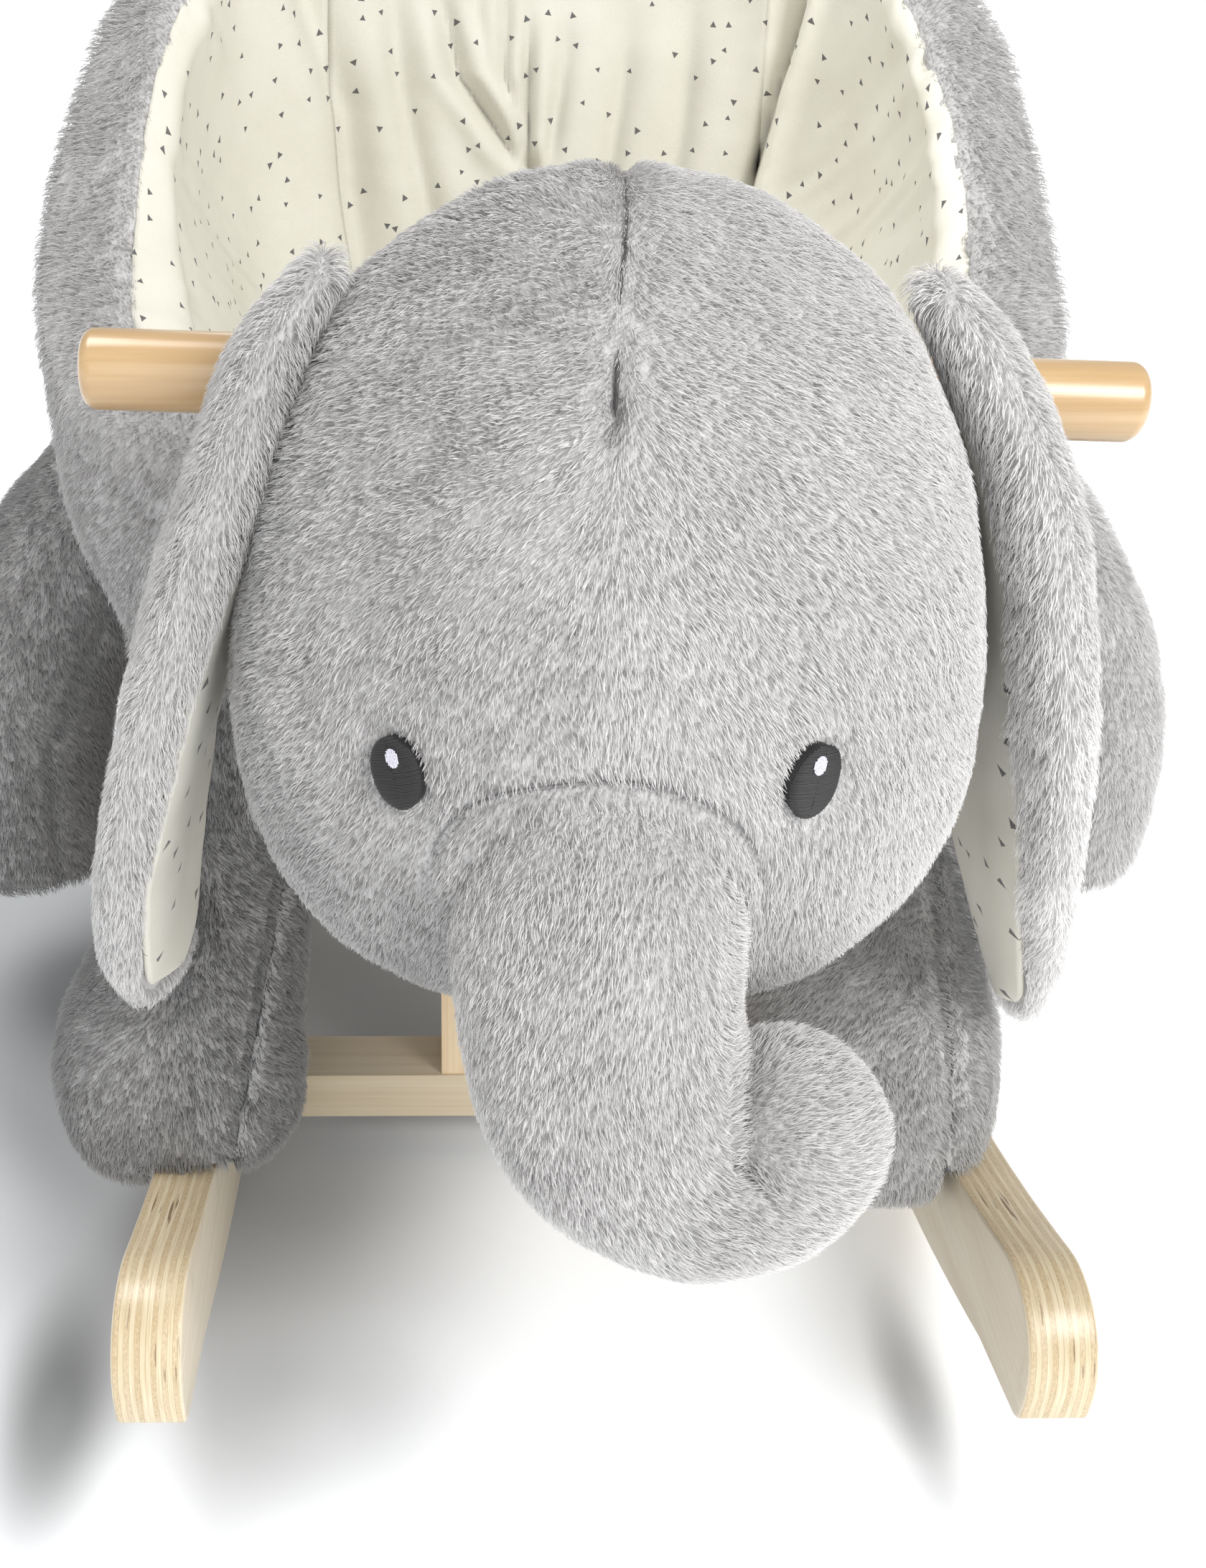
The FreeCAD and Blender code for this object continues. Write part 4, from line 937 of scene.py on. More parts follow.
def build_tub_skin():
    rows = tub_skin_rows()
    nv, nu = rows.shape[:2]
    co = rows.reshape(-1, 3)
    # normals of the sheet
    du = np.roll(rows, -1, 1) - np.roll(rows, 1, 1)
    dv = np.gradient(rows, axis=0)
    n = unit(np.cross(du, dv))
    cen = np.array([PX, 35.0, 300.0])
    flip = np.sign(((rows - cen) * n).sum(2, keepdims=True))
    n = n * np.where(flip == 0, 1, flip)
    lab = panel_split(PSI)
    zrow = rows[:, :, 2]
    belly = np.zeros((nv, nu), bool)
    belly[:26] = True
    ring = np.repeat(lab[None, :], nv, 0)
    ring[belly] = 4
    # grooves where panels are sewn together
    deg = np.degrees(PSI)
    g = np.zeros((nv, nu))
    for s in (52, 128, 238, 302):
        d = np.abs((deg - s + 180) % 360 - 180) * math.pi / 180 * 190
        g += np.exp(-(d / 2.6) ** 2)[None, :] * 2.6
    g[:26] = 0
    row_at = np.abs(np.arange(nv) - 26)[:, None]
    g += np.exp(-(row_at / 1.2) ** 2) * 2.2
    # a stuffed body isn't a perfect form: soft dents, fuller flanks
    flat = rows.reshape(-1, 3)
    soft = vnoise(flat, 95, 3) * 2.6 + vnoise(flat, 48, 4) * 1.2
    fade = smooth(0, 8, np.arange(nv))[:, None] * np.ones(nu)[None, :]
    jj = np.arange(nv)
    end = 1 - smooth(nv - 9, nv - 2, jj)
    disp = -g + soft.reshape(nv, nu) * fade * (0.3 + 0.7 * end)[:, None] - (0.6 + 3.4 * end * smooth(0, 6, jj))[:, None]
    rows = rows + n * disp[:, :, None]
    objs = []
    names = {0: ("chest_fur", ("chest_cover", "chest_padding")), 1: ("rump_fur", ("rump_cover",)), 2: ("flank_fur_right", ("flank_cover_right",)),
             3: ("flank_fur_left", ("flank_cover_left",)), 4: ("belly_fur", ("belly_cover", "base_padding"))}
    verts = rows.reshape(-1, 3)
    for lab_id, (name, rep) in names.items():
        faces = []
        for j in range(nv - 1):
            for i in range(nu):
                if ring[j, i] == lab_id:
                    i2 = (i + 1) % nu
                    faces.append((j * nu + i, j * nu + i2, (j + 1) * nu + i2, (j + 1) * nu + i))
        if lab_id == 4:
            verts4 = np.concatenate([verts, rows[0].mean(0)[None]])
            k = len(verts4) - 1
            faces += [(k, (i + 1) % nu, i) for i in range(nu)]
            vv = verts4
        else:
            vv = verts
        used = np.unique(np.array([i for f in faces for i in f]))
        remap = -np.ones(len(vv), int)
        remap[used] = np.arange(len(used))
        faces = [tuple(int(remap[i]) for i in f) for f in faces]
        ob = make_object(name, vv[used], faces, FUR_SKIN)
        # all faces look outward
        no = normals(ob)
        c0 = coords(ob)
        ref = c0 - np.array([PX, 35.0, 300.0])
        if (no * ref).sum(1).mean() < 0:
            ob.data.flip_normals()
        objs.append((ob, rep))
    return objs


SEAM_LINE = roll_row(PSI, ZR, SEAM)


def body_nap(p, m):
    """Pile on the body lies down and back; inside the rim it is brushed back and outward."""
    r = unit(np.stack([p[:, 0] - PX, p[:, 1] - 35.0, 0 * p[:, 2]], 1))
    w = smooth(0.25, -0.25, (m * r).sum(1))[:, None]
    base = np.stack([0.0 * p[:, 0], 0.35 + 0 * p[:, 1], -1.0 + 0 * p[:, 2]], 1)
    return base * (1 - w) + (r * 0.8 + np.array([0, 0.7, 0.3])) * w


def rim_mask(p):
    """Shorter pile along the seam with the lining."""
    g = np.ones(len(p))
    near = np.where(p[:, 2] > 300)[0]
    for k in range(0, len(near), 20000):
        q = near[k:k + 20000]
        d = np.full(len(q), 1e9)
        for a in range(0, NPSI, 2):
            d = np.minimum(d, ((p[q] - SEAM_LINE[a]) ** 2).sum(1))
        g[q] = 0.42 + 0.58 * smooth(2.0, 9.0, np.sqrt(d))
    return g


def solidify(ob, thick, offset=-1.0):
    s = ob.modifiers.new("cloth", "SOLIDIFY")
    s.thickness = thick * MM
    s.offset = offset
    s.use_even_offset = False
    bpy.context.view_layer.update()
    dg = bpy.context.evaluated_depsgraph_get()
    me = bpy.data.meshes.new_from_object(ob.evaluated_get(dg))
    ob.modifiers.clear()
    ob.data = me


tub_objs = build_tub_skin()
for ob, rep in tub_objs:
    tufts(ob, 0.9, body_nap, 5.5, 5)
    if ob.name == "belly_fur":
        pile("pile_" + ob.name, ob, "root", 0.18, 7.0, body_nap, 31, 0.5, 0.36)
    else:
        # the left flank's strands are painted darker as painted shade, and its rougher pile a little darker still
        pile("pile_" + ob.name, ob, "root", 0.52, 6.2, body_nap, 32 + len(ob.name), 0.48, 0.275, 0.34, 3.2, mask=rim_mask,
             tone=0.82, swirl=0.22, shade=lambda p: 1.0 - 0.10 * smooth(0, -120, p[:, 0]), rough=lambda p: 0.35 + 0.35 * smooth(20, -40, p[:, 0]), thin=lambda p: 0.62 + 0.38 * smooth(330, 380, p[:, 2]))
    solidify(ob, 3.0)
    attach(ob, "root")
    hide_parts(*rep)


# ------------------------------------------------------------------ cotton lining
def lining():
    """Rows from the rim's seam down the inside to the seat, with sewn channels and gathers."""
    rows, vlen = [], []
    for a in np.linspace(0, 1, 14):
        rows.append(roll_row(PSI, ZR, SEAM + (math.pi - SEAM) * a))
    nz = 96
    for s in np.linspace(0, 1, nz)[1:]:
        z = (ZR - ROLL) + (270.0 - (ZR - ROLL)) * s
        x, y = inner(PSI, z)
        rows.append(np.stack([x, y, z], 1))
    wall_end = len(rows)
    v0 = cav_f(np.array([268.0]))[0]
    cy = (v0[1] + v0[2]) / 2
    last = rows[-1]
    for s in np.linspace(0, 1, 34)[1:]:
        k = 1 - s * 0.985
        zz = 270.0 - 9.0 * math.sin(min(s * 4, 1) * math.pi / 2) + 7.0 * smooth(0.2, 1.0, s)
        rows.append(np.stack([PX + (last[:, 0] - PX) * k, cy + (last[:, 1] - cy) * k, np.full(NPSI, zz)], 1))
    rows = np.array(rows)
    nv, nu = rows.shape[:2]
    step = np.linalg.norm(np.diff(rows, axis=0), axis=2)
    v = np.concatenate([np.zeros((1, nu)), np.cumsum(step, 0)], 0)
    ring = rows[30]
    ustep = np.linalg.norm(np.roll(ring, -1, 0) - ring, axis=1)
    u = np.concatenate([[0], np.cumsum(ustep)])
    du = np.roll(rows, -1, 1) - np.roll(rows, 1, 1)
    dv = np.gradient(rows, axis=0)
    n = unit(np.cross(du, dv))
    axis_pt = np.array([PX, 15.0, 420.0])
    s = np.sign(((axis_pt - rows) * n).sum(2, keepdims=True))
    # the wall faces the middle of the seat, the roll's top faces up
    flip = np.where((n[:, :, 2:3] < -0.3), -1.0, 1.0)
    inward = np.where(s == 0, 1, s)
    n = n * inward
    top = rows[:, :, 2] > (ZR - ROLL * 0.6)[None, :]
    n = np.where((top & (n[:, :, 2] < 0))[:, :, None], -n, n)
    deg = np.degrees(PSI)
    jj = np.arange(nv)
    wall = smooth(2, 16, jj)[:, None] * (1 - smooth(wall_end - 4, wall_end + 4, jj))[:, None]
    depth = np.clip((jj - 14) / (wall_end - 14.0), 0, 1)[:, None]
    disp = np.zeros((nv, nu))
    flat = rows.reshape(-1, 3)
    # the creases between the wings and the back, and the folds of the gathered back
    dep = depth[:, 0]
    rad = 150.0 * math.pi / 180

    def fold(pts, amp, wid, on, sharp=1.2, ridge=0.35, slope=1.0, lean=0.0):
        pts = np.array(pts, float)
        cen = np.interp(dep, pts[:, 1], pts[:, 0])[:, None]
        dd = ((deg[None, :] - cen + 180) % 360 - 180) * rad * slope
        w = (smooth(on[0], on[1], dep) * (1 - smooth(on[2], on[3], dep)))[:, None] * wall
        v = -amp * np.exp(-(np.abs(dd) / wid) ** sharp)
        v = v + amp * ridge * ((1 + lean) * np.exp(-((dd - wid * 2.3) / (wid * 1.5)) ** 2) + (1 - lean) * np.exp(-((dd + wid * 2.3) / (wid * 1.5)) ** 2))
        return v * w

    disp += fold([(40.5, 0), (41.6, .10), (45.0, .28), (47.2, .47), (48, 1)], 16.5, 3.8, (-.2, 0.02, .96, 1.1), 1.1, 0.24, 1.0, -0.8)
    disp += fold([(135, 0), (133.9, .11), (128.2, .34), (128.2, .6), (128, 1)], 9.0, 8.5, (-.2, 0.02, .96, 1.1), 1.9, 0.30, 1.0, 0.5)
    disp += fold([(92.5, 0), (92.2, .22), (92.2, .34), (91.3, .45), (90.5, 1)], 13.0, 3.4, (.10, .34, .97, 1.1), 1.1, 0.30)
    disp += fold([(97.6, 0), (96.8, .18), (97.0, .28), (94.4, .38), (92, .48), (92, 1)], 7.5, 3.2, (.03, .22, .40, .50), 1.15, 0.30, 0.9)
    disp += fold([(113, 0), (108.5, .18), (106.5, .28), (102.2, .34), (97.9, .40), (93.0, .48), (93, 1)], 10.0, 4.2, (.03, .26, .42, .50), 1.3, 0.42, 0.75)
    disp += fold([(103.5, 0), (103.0, .15), (100.5, .27), (97, .34), (95, 1)], 3.6, 4.0, (-.1, .12, .26, .36), 1.5, 0.40, 0.9)
    disp += fold([(83, 0), (84, .25), (86.5, .40), (89.5, .52), (90, 1)], 5.5, 4.2, (.12, .32, .46, .56), 1.4, 0.40, 0.85)
    disp += fold([(119, 0), (118, .30), (114, .55), (108, 1)], 6.0, 6.5, (.0, .25, .97, 1.1), 1.8, 0.40)
    disp += fold([(71, 0), (72, .3), (75, .6), (80, 1)], 5.5, 6.0, (.10, .35, .97, 1.1), 1.8, 0.40)
    disp += fold([(60, 0), (60, .4), (63, .7), (66, 1)], 5.0, 6.0, (.05, .3, .97, 1.1), 1.8, 0.40)
    disp += fold([(99, 0), (99, .5), (99, .6), (98, 1)], 4.2, 4.2, (.45, .62, .97, 1.1), 1.5, 0.40)
    disp += fold([(82, 0), (82, .5), (82, .6), (82, 1)], 4.2, 4.2, (.45, .62, .97, 1.1), 1.5, 0.40)
    # wing crown
    wing = np.exp(-(((deg - 0 + 180) % 360 - 180) / 46) ** 2) + np.exp(-(((deg - 180 + 180) % 360 - 180) / 46) ** 2)
    disp += 6.0 * wing[None, :] * np.sin(np.clip(depth, 0, 1) * math.pi) * wall
    back = np.exp(-(((deg - 90 + 180) % 360 - 180) / 28) ** 2)
    disp += 5.0 * back[None, :] * np.sin(np.clip(depth * 1.05, 0, 1) * math.pi) * wall
    # short puckers along the rim seam and soft random drape
    puck = vnoise(np.stack([np.repeat(u[:-1][None, :], nv, 0).ravel(), v.ravel() * 0.18, 0 * v.ravel()], 1), 5.0, 8).reshape(nv, nu)
    disp += puck * 1.5 * np.exp(-(v / 9.0) ** 2)
    puck2 = vnoise(np.stack([np.repeat(u[:-1][None, :], nv, 0).ravel(), v.ravel() * 0.3, 0 * v.ravel() + 7], 1), 13.0, 9).reshape(nv, nu)
    disp += puck2 * 2.0 * np.exp(-((v - 14) / 22.0) ** 2)
    disp += (vnoise(flat, 60, 12) * 2.4 + vnoise(flat, 27, 13) * 1.1 + vnoise(flat, 12, 14) * 0.35).reshape(nv, nu) * smooth(4, 14, jj)[:, None]
    # diagonal drag lines on the wings
    drag = vnoise(np.stack([flat[:, 0] * 0.12, (flat[:, 1] + flat[:, 2] * 0.9) * 0.12 * 2.2, (flat[:, 2] - flat[:, 1]) * 0.02], 1) * 8, 15.0, 15).reshape(nv, nu)
    disp += drag * 1.3 * wing[None, :] * wall
    # seat: a shallow crown and a tuck where it meets the walls
    disp -= 3.0 * np.exp(-((jj - wall_end) / 2.2) ** 2)[:, None]
    rows = rows + n * disp[:, :, None]
    return rows, u, v, wall_end


L_ROWS, L_U, L_V, L_END = lining()


def lining_piece(name, cols, j0, j1, rep, close_centre=False, mat=COTTON):
    rows, nu = L_ROWS, NPSI
    verts, faces, uvs = [], [], []
    idx = {}

    def vid(j, i):
        key = (j, i % nu)
        if key not in idx:
            idx[key] = len(verts)
            verts.append(rows[j, i % nu])
        return idx[key]

    quad_uv = []
    for j in range(j0, j1):
        for i in cols:
            faces.append((vid(j, i), vid(j, i + 1), vid(j + 1, i + 1), vid(j + 1, i)))
            u0, u1 = L_U[i % nu], L_U[i % nu + 1]
            quad_uv.append(((u0, L_V[j, i % nu]), (u1, L_V[j, (i + 1) % nu]), (u1, L_V[j + 1, (i + 1) % nu]), (u0, L_V[j + 1, i % nu])))
    if close_centre:
        # the seat uses a flat map
        quad_uv = [tuple((verts[k][0] + 400, verts[k][1] + 400) for k in f) for f in faces]
        c = len(verts)
        verts.append(rows[-1].mean(0))
        for i in cols:
            a, b = vid(len(rows) - 1, i + 1), vid(len(rows) - 1, i)
            faces.append((c, a, b))
            quad_uv.append(tuple((verts[k][0] + 400, verts[k][1] + 400) for k in (c, a, b)))
    ob = make_object(name, verts, faces, mat)
    lay = ob.data.uv_layers.new(name="mmUV")
    flat = np.array([p for q in quad_uv for p in q], float) * MM
    if len(flat) == len(lay.data):
        lay.data.foreach_set("uv", flat.ravel())
    no = normals(ob)
    co = coords(ob)
    if close_centre:
        good = no[:, 2].mean() > 0
    else:
        good = ((np.array([PX, 15.0, 470.0]) - co) * no).sum(1).mean() > 0
    if not good:
        ob.data.flip_normals()
    solidify(ob, 2.2)
    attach(ob, "root")
    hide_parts(*rep)
    return ob


def cols_between(a, b):
    d = np.degrees(PSI)
    return [i for i in range(NPSI) if a <= (d[i] + 0.01 - a) % 360 + a < b]


# the left wing and the back take cotton copies painted lighter and darker, as painted light and shade
lining_piece("lining_wing_left", cols_between(-90.0, 46.0), 0, L_END, ("wing_lining_left", "bolster_left"), mat=COTTON_WING_PAINTED_LIGHT)
lining_piece("lining_wing_right", cols_between(130.0, 270.0), 0, L_END, ("wing_lining_right", "bolster_right"))
lining_piece("lining_back", cols_between(46.0, 130.0), 0, L_END, ("back_lining", "back_cushion"), mat=COTTON_BACK_PAINTED_SHADE)
lining_piece("lining_seat", list(range(NPSI)), L_END, len(L_ROWS) - 1, ("seat_lining", "seat_cushion"), True)

# ================================================================== head
HX, HY, HZ = -6.5, -218.0, 318.0
HA, HBF, HBB, HUP, HDN = 113.0, 95.5, 94.0, 136.5, 119.5
HT = np.array([(-0.99, 0.27, 5, 2.1), (-0.9, 0.533, 4, 2.15), (-0.7, 0.763, 3, 2.2), (-0.42, 0.935, 1, 2.25), (-0.1, 0.998, 0, 2.25),
               (0.22, 0.958, 1, 2.25), (0.48, 0.875, 5, 2.25), (0.70, 0.738, 10, 2.25), (0.84, 0.583, 14, 2.25), (0.93, 0.413, 17, 2.2), (0.99, 0.20, 19, 2.1)])
_hs = np.arcsin(HT[:, 0])
head_g = spline(_hs, np.stack([HT[:, 1] / np.cos(_hs), HT[:, 2], HT[:, 3]], 1))


def head_F(p, off=0.0):
    """Below 0 inside the head's form, above 0 outside."""
    z = p[:, 2] - HZ
    s = np.clip(z / np.where(z > 0, HUP + off, HDN + off), -1, 1)
    ph = np.arcsin(s)
    g = head_g(np.clip(ph, _hs[0], _hs[-1]))
    f = g[:, 0] * np.cos(ph)
    x = (p[:, 0] - HX) / (HA + off)
    y = p[:, 1] - HY - g[:, 1]
    y = y / np.where(y > 0, HBB + off, HBF + off)
    n = g[:, 2]
    rho = (np.abs(x) ** n + np.abs(y) ** n) ** (1 / n)
    over = np.abs(z) / np.where(z > 0, HUP + off, HDN + off)
    return np.where(over >= 1, 10.0, rho - f)


def head_surface(dirs, off=0.0):
    lo, hi = np.zeros(len(dirs)), np.full(len(dirs), 190.0)
    cen = np.array([HX, HY + 4, HZ])
    for _ in range(36):
        mid = (lo + hi) / 2
        out = head_F(cen + dirs * mid[:, None], off) > 0
        hi = np.where(out, mid, hi)
        lo = np.where(out, lo, mid)
    return cen + dirs * hi[:, None]


def cube_sphere(n):
    bm = bmesh.new()
    bmesh.ops.create_cube(bm, size=2.0)
    bmesh.ops.subdivide_edges(bm, edges=bm.edges[:], cuts=n - 1, use_grid_fill=True)
    bm.verts.ensure_lookup_table()
    v = np.array([tuple(x.co) for x in bm.verts])
    faces = [tuple(x.index for x in f.verts) for f in bm.faces]
    bm.free()
    v = np.tan(np.clip(v, -1, 1) * math.pi / 4)
    return unit(v), faces


EYES = ((-68.2, -301.0, 327.5, 1), (42.0, -304.0, 328.3, -1))
SEAM_PTS = np.array([(-3, -150, 447), (-5, -185, 452), (-6.8, -218.1, 449.6), (-8.5, -234.9, 444.2), (-10.7, -251.0, 434.9), (-11.9, -264.0, 425.3), (-12.7, -272.9, 416.4)], float)
ARC_PTS = np.array([(-60, -302, 298), (-58.1, -303.7, 305.8), (-52.8, -305.3, 316.3), (-40.4, -307.4, 326.6), (-28.1, -308.9, 330.1), (-16.1, -309.7, 331.7), (2.4, -310.2, 329.5),
                    (19.9, -309.6, 320.3), (28.7, -308.6, 306.8), (31, -307, 299)], float)


def poly_dist(p, pts):
    best = np.full(len(p), 1e9)
    for a, b in zip(pts[:-1], pts[1:]):
        ab = b - a
        t = np.clip(((p - a) @ ab) / (ab @ ab), 0, 1)
        best = np.minimum(best, np.linalg.norm(p - a - t[:, None] * ab, axis=1))
    return best


def head_detail(co):
    """Sculpted height over the plain form: seams, dimple, cheeks, brow."""
    h = vnoise(co, 70, 21) * 1.6 + vnoise(co, 34, 22) * 0.7
    seam = poly_dist(co, SEAM_PTS)
    h -= 2.4 * np.exp(-(seam / 2.4) ** 2)
    h += 0.5 * np.exp(-((seam - 9) / 5.0) ** 2)
    dim = (co - SEAM_PTS[-1]) / np.array([3.0, 7.0, 7.5])
    h -= 3.6 * np.exp(-(dim ** 2).sum(1))
    arc = poly_dist(co, ARC_PTS)
    h -= 1.5 * np.exp(-(arc / 2.6) ** 2)
    # shallow sockets round the eyes, full cheeks below and outside them
    for ex, ey, ez, sg in EYES:
        d = (co - np.array([ex, ey, ez])) / np.array([17, 30, 20])
        h -= 3.2 * np.exp(-(d ** 2).sum(1))
        ch = (co - np.array([ex - sg * 16, ey + 6, ez - 46])) / np.array([36, 40, 34])
        h += 3.5 * np.exp(-(ch ** 2).sum(1))
    # hollow beside the trunk's root
    for x0 in (-66, 36):
        d = (co - np.array([x0, -300, 282])) / np.array([13, 30, 34])
        h -= 3.0 * np.exp(-(d ** 2).sum(1))
    return h


def build_head():
    dirs, faces = cube_sphere(88)
    co = head_surface(dirs)
    ob = make_object("head_fur", co, faces, FUR_SKIN)
    outward(ob)
    no = normals(ob)
    co = coords(ob)
    set_coords(ob, co + no * head_detail(co)[:, None])
    return ob


head = build_head()


def head_nap(p, m):
    """From the brow down and outward over the cheeks, back over the crown."""
    x = (p[:, 0] - HX) / 110.0
    top = smooth(395, 445, p[:, 2])
    back = smooth(-190, -150, p[:, 1])
    x0 = (p[:, 0] - np.interp(p[:, 2], [330, 416, 435, 450], [-15, -12.7, -10.7, -6.8])) / 9.0
    part = np.tanh(x0)
    high = smooth(350, 430, p[:, 2])
    v = np.stack([0.45 * x + 1.0 * part * high, 0.0 * x, -1.0 + 0 * x], 1)
    crown = np.stack([1.5 * part, -0.75 + 0 * x, -0.35 + 0 * x], 1)
    v = v * (1 - top[:, None]) + crown * top[:, None]
    rear = np.stack([0.3 * x, 0.2 + 0 * x, -1.0 + 0 * x], 1)
    return v * (1 - back[:, None]) + rear * back[:, None]


def eye_mask(p):
    g = np.ones(len(p))
    for ex, ey, ez, sg in EYES:
        q = p - np.array([ex, ey, ez])
        t = math.radians(11) * sg
        u = q[:, 0] * math.cos(t) + q[:, 2] * math.sin(t)
        w = -q[:, 0] * math.sin(t) + q[:, 2] * math.cos(t)
        r = np.sqrt((u / 6.5) ** 2 + (w / 10.3) ** 2)
        near = np.abs(q[:, 1]) < 30
        g = np.where(near, g * smooth(0.88, 1.02, r) * (0.45 + 0.55 * smooth(1.0, 1.9, r)), g)
    return g


def head_mask(p):
    g = eye_mask(p)
    seam = poly_dist(p, SEAM_PTS)
    g = g * (0.38 + 0.62 * smooth(0.9, 3.6, seam))
    g = g * (0.40 + 0.60 * smooth(0.8, 3.6, poly_dist(p, ARC_PTS)))
    # the handle passes through the sides
    hole = np.sqrt((p[:, 1] + 168) ** 2 + (p[:, 2] - 386) ** 2)
    g = g * np.where(np.abs(p[:, 0] - HX) > 40, smooth(12.5, 14.0, hole), 1.0)
    return g


def head_rough(p):
    """Brushed against the nap on the wearer's right half of the brow, smooth on the other."""
    half = smooth(3.0, -9.0, p[:, 0] - np.interp(p[:, 2], [330, 416, 450], [-16, -12, -7]))
    return half * smooth(270, 340, p[:, 2]) + 0.35 * smooth(340, 270, p[:, 2]) * half


def head_shade(p):
    """Painted shade in the pile: along the seams and in the dimple, over the left half, the lower left cheek, under the
    chin and a little on the top.
    """
    d = (p - SEAM_PTS[-1]) / np.array([3.4, 9.0, 7.0])
    g = (0.52 + 0.48 * smooth(0.3, 2.8, poly_dist(p, SEAM_PTS))) * (0.72 + 0.28 * smooth(0.5, 3.0, poly_dist(p, ARC_PTS)))
    g = g * (1 - 0.12 * smooth(10, -60, p[:, 0])) * (1 - 0.20 * smooth(330, 285, p[:, 2]) * smooth(-45, -70, p[:, 0]))
    g = g * (1 - 0.22 * smooth(270, 235, p[:, 2])) * (1 - 0.05 * smooth(405, 430, p[:, 2]))
    return g * (1 - 0.45 * np.exp(-(d ** 2).sum(1)))


def head_thin(p):
    return np.where(p[:, 1] > -150, 0.5, 1.0)


pile("pile_head", head, "root", 1.18, 4.6, head_nap, 7, 0.48, 0.212, 0.32, 2.8, mask=head_mask, rough=head_rough, thin=head_thin, shade=head_shade)
tufts(head, 0.8, head_nap, 4.5, 15, mask=lambda p: smooth(1.1, 1.8, np.min([np.sqrt(((p[:, 0] - e[0]) / 7) ** 2 + ((p[:, 2] - e[2]) / 11) ** 2) + (np.abs(p[:, 1] - e[1]) > 40) * 9 for e in EYES], 0)))
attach(head, "root")
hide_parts("head_cover", "head_stuffing")



def on_form(p, lift):
    """Carries points of a seam on to the sculpted head."""
    cen = np.array([HX, HY + 4, HZ])
    d = unit(p - cen)
    q = head_surface(d)
    return q + d * (head_detail(q) + lift)[:, None]


def seam_line(name, pts, radius, lift, colour, a, b, taper=0.35):
    """A dark tube of painted shade in the seam's crease, between two lengths of the seam."""
    t = np.concatenate([[0], np.cumsum(np.linalg.norm(np.diff(pts, axis=0), axis=1))])
    path = on_form(spline(t, pts)(np.linspace(t[-1] * a, t[-1] * b, 60)), lift)
    e = np.minimum(np.linspace(0, 1, 60), np.linspace(1, 0, 60))
    rad = radius * (taper + (1 - taper) * smooth(0, 0.25, e))
    rows, cen, dirs = tube_rows(path[::2], [(float(r), float(r)) for r in rad[::2]], 90, 10, 0.6, 0.6)
    ob = rows_mesh(name, rows, colour)
    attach(ob, "root")


# dark tubes of painted shade, laid along the seams' creases
SEAM_DARK = fur_skin("SeamShade", (0.050, 0.048, 0.050), (0.12, 0.116, 0.118))
SEAM_SHADE_LEG = fur_skin("SeamLeg", (0.07, 0.067, 0.07), (0.15, 0.146, 0.15))
SEAM_SHADE_SOFT = fur_skin("SeamSoft", (0.16, 0.156, 0.158), (0.27, 0.264, 0.266))
seam_line("crown_seam", SEAM_PTS, 0.42, 0.9, SEAM_DARK, 0.38, 0.80)
seam_line("crown_tuck", SEAM_PTS, 0.62, 0.9, SEAM_DARK, 0.89, 1.0, 0.2)
seam_line("brow_seam", ARC_PTS, 0.55, 1.3, SEAM_SHADE_SOFT, 0.06, 0.94)

# ================================================================== trunk
TRUNK = [(-14, -262, 306), (-13, -288, 291), (-12.5, -307, 273), (-10.5, -319, 251), (-4, -326, 232), (10, -329, 218), (24, -331, 213), (33.5, -332, 215.5), (39.5, -332, 220.5), (43, -332, 227)]
TRAD = [40, 41.5, 39.5, 38, 37.5, 35, 32.5, 30.5, 28.5, 26.5]


def build_trunk():
    rows, cen, dirs = tube_rows(TRUNK, TRAD, 130, 96, 0.0, 0.84, 2.0, 0.60)
    ob = rows_mesh("trunk_fur", rows, FUR_SKIN)
    co, no = coords(ob), normals(ob)
    h = vnoise(co, 40, 27) * 1.0
    set_coords(ob, co + no * h[:, None])
    return ob, cen, dirs


trunk, T_CEN, T_DIR = build_trunk()


def trunk_nap(p, m):
    k = np.argmin(((p[:, None, :] - T_CEN[None, ::4, :]) ** 2).sum(2), 1)
    d = T_DIR[::4][k]
    w = smooth(8, 30, p[:, 0])[:, None]
    return d * (1 - w) + np.array([0.85, 0.35, -0.30]) * w


def trunk_mask(p):
    inside = head_F(p, 1.0)
    g = smooth(-0.02, 0.02, inside)
    return g


pile("pile_trunk", trunk, "root", 1.2, 4.9, trunk_nap, 9, 0.48, 0.212, 0.32, 2.8, mask=trunk_mask, tone=1.0, rough=lambda p: 0.25 + 0.35 * smooth(5, -35, p[:, 0]))
tufts(trunk, 0.8, trunk_nap, 4.5, 18)
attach(trunk, "root")
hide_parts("trunk")


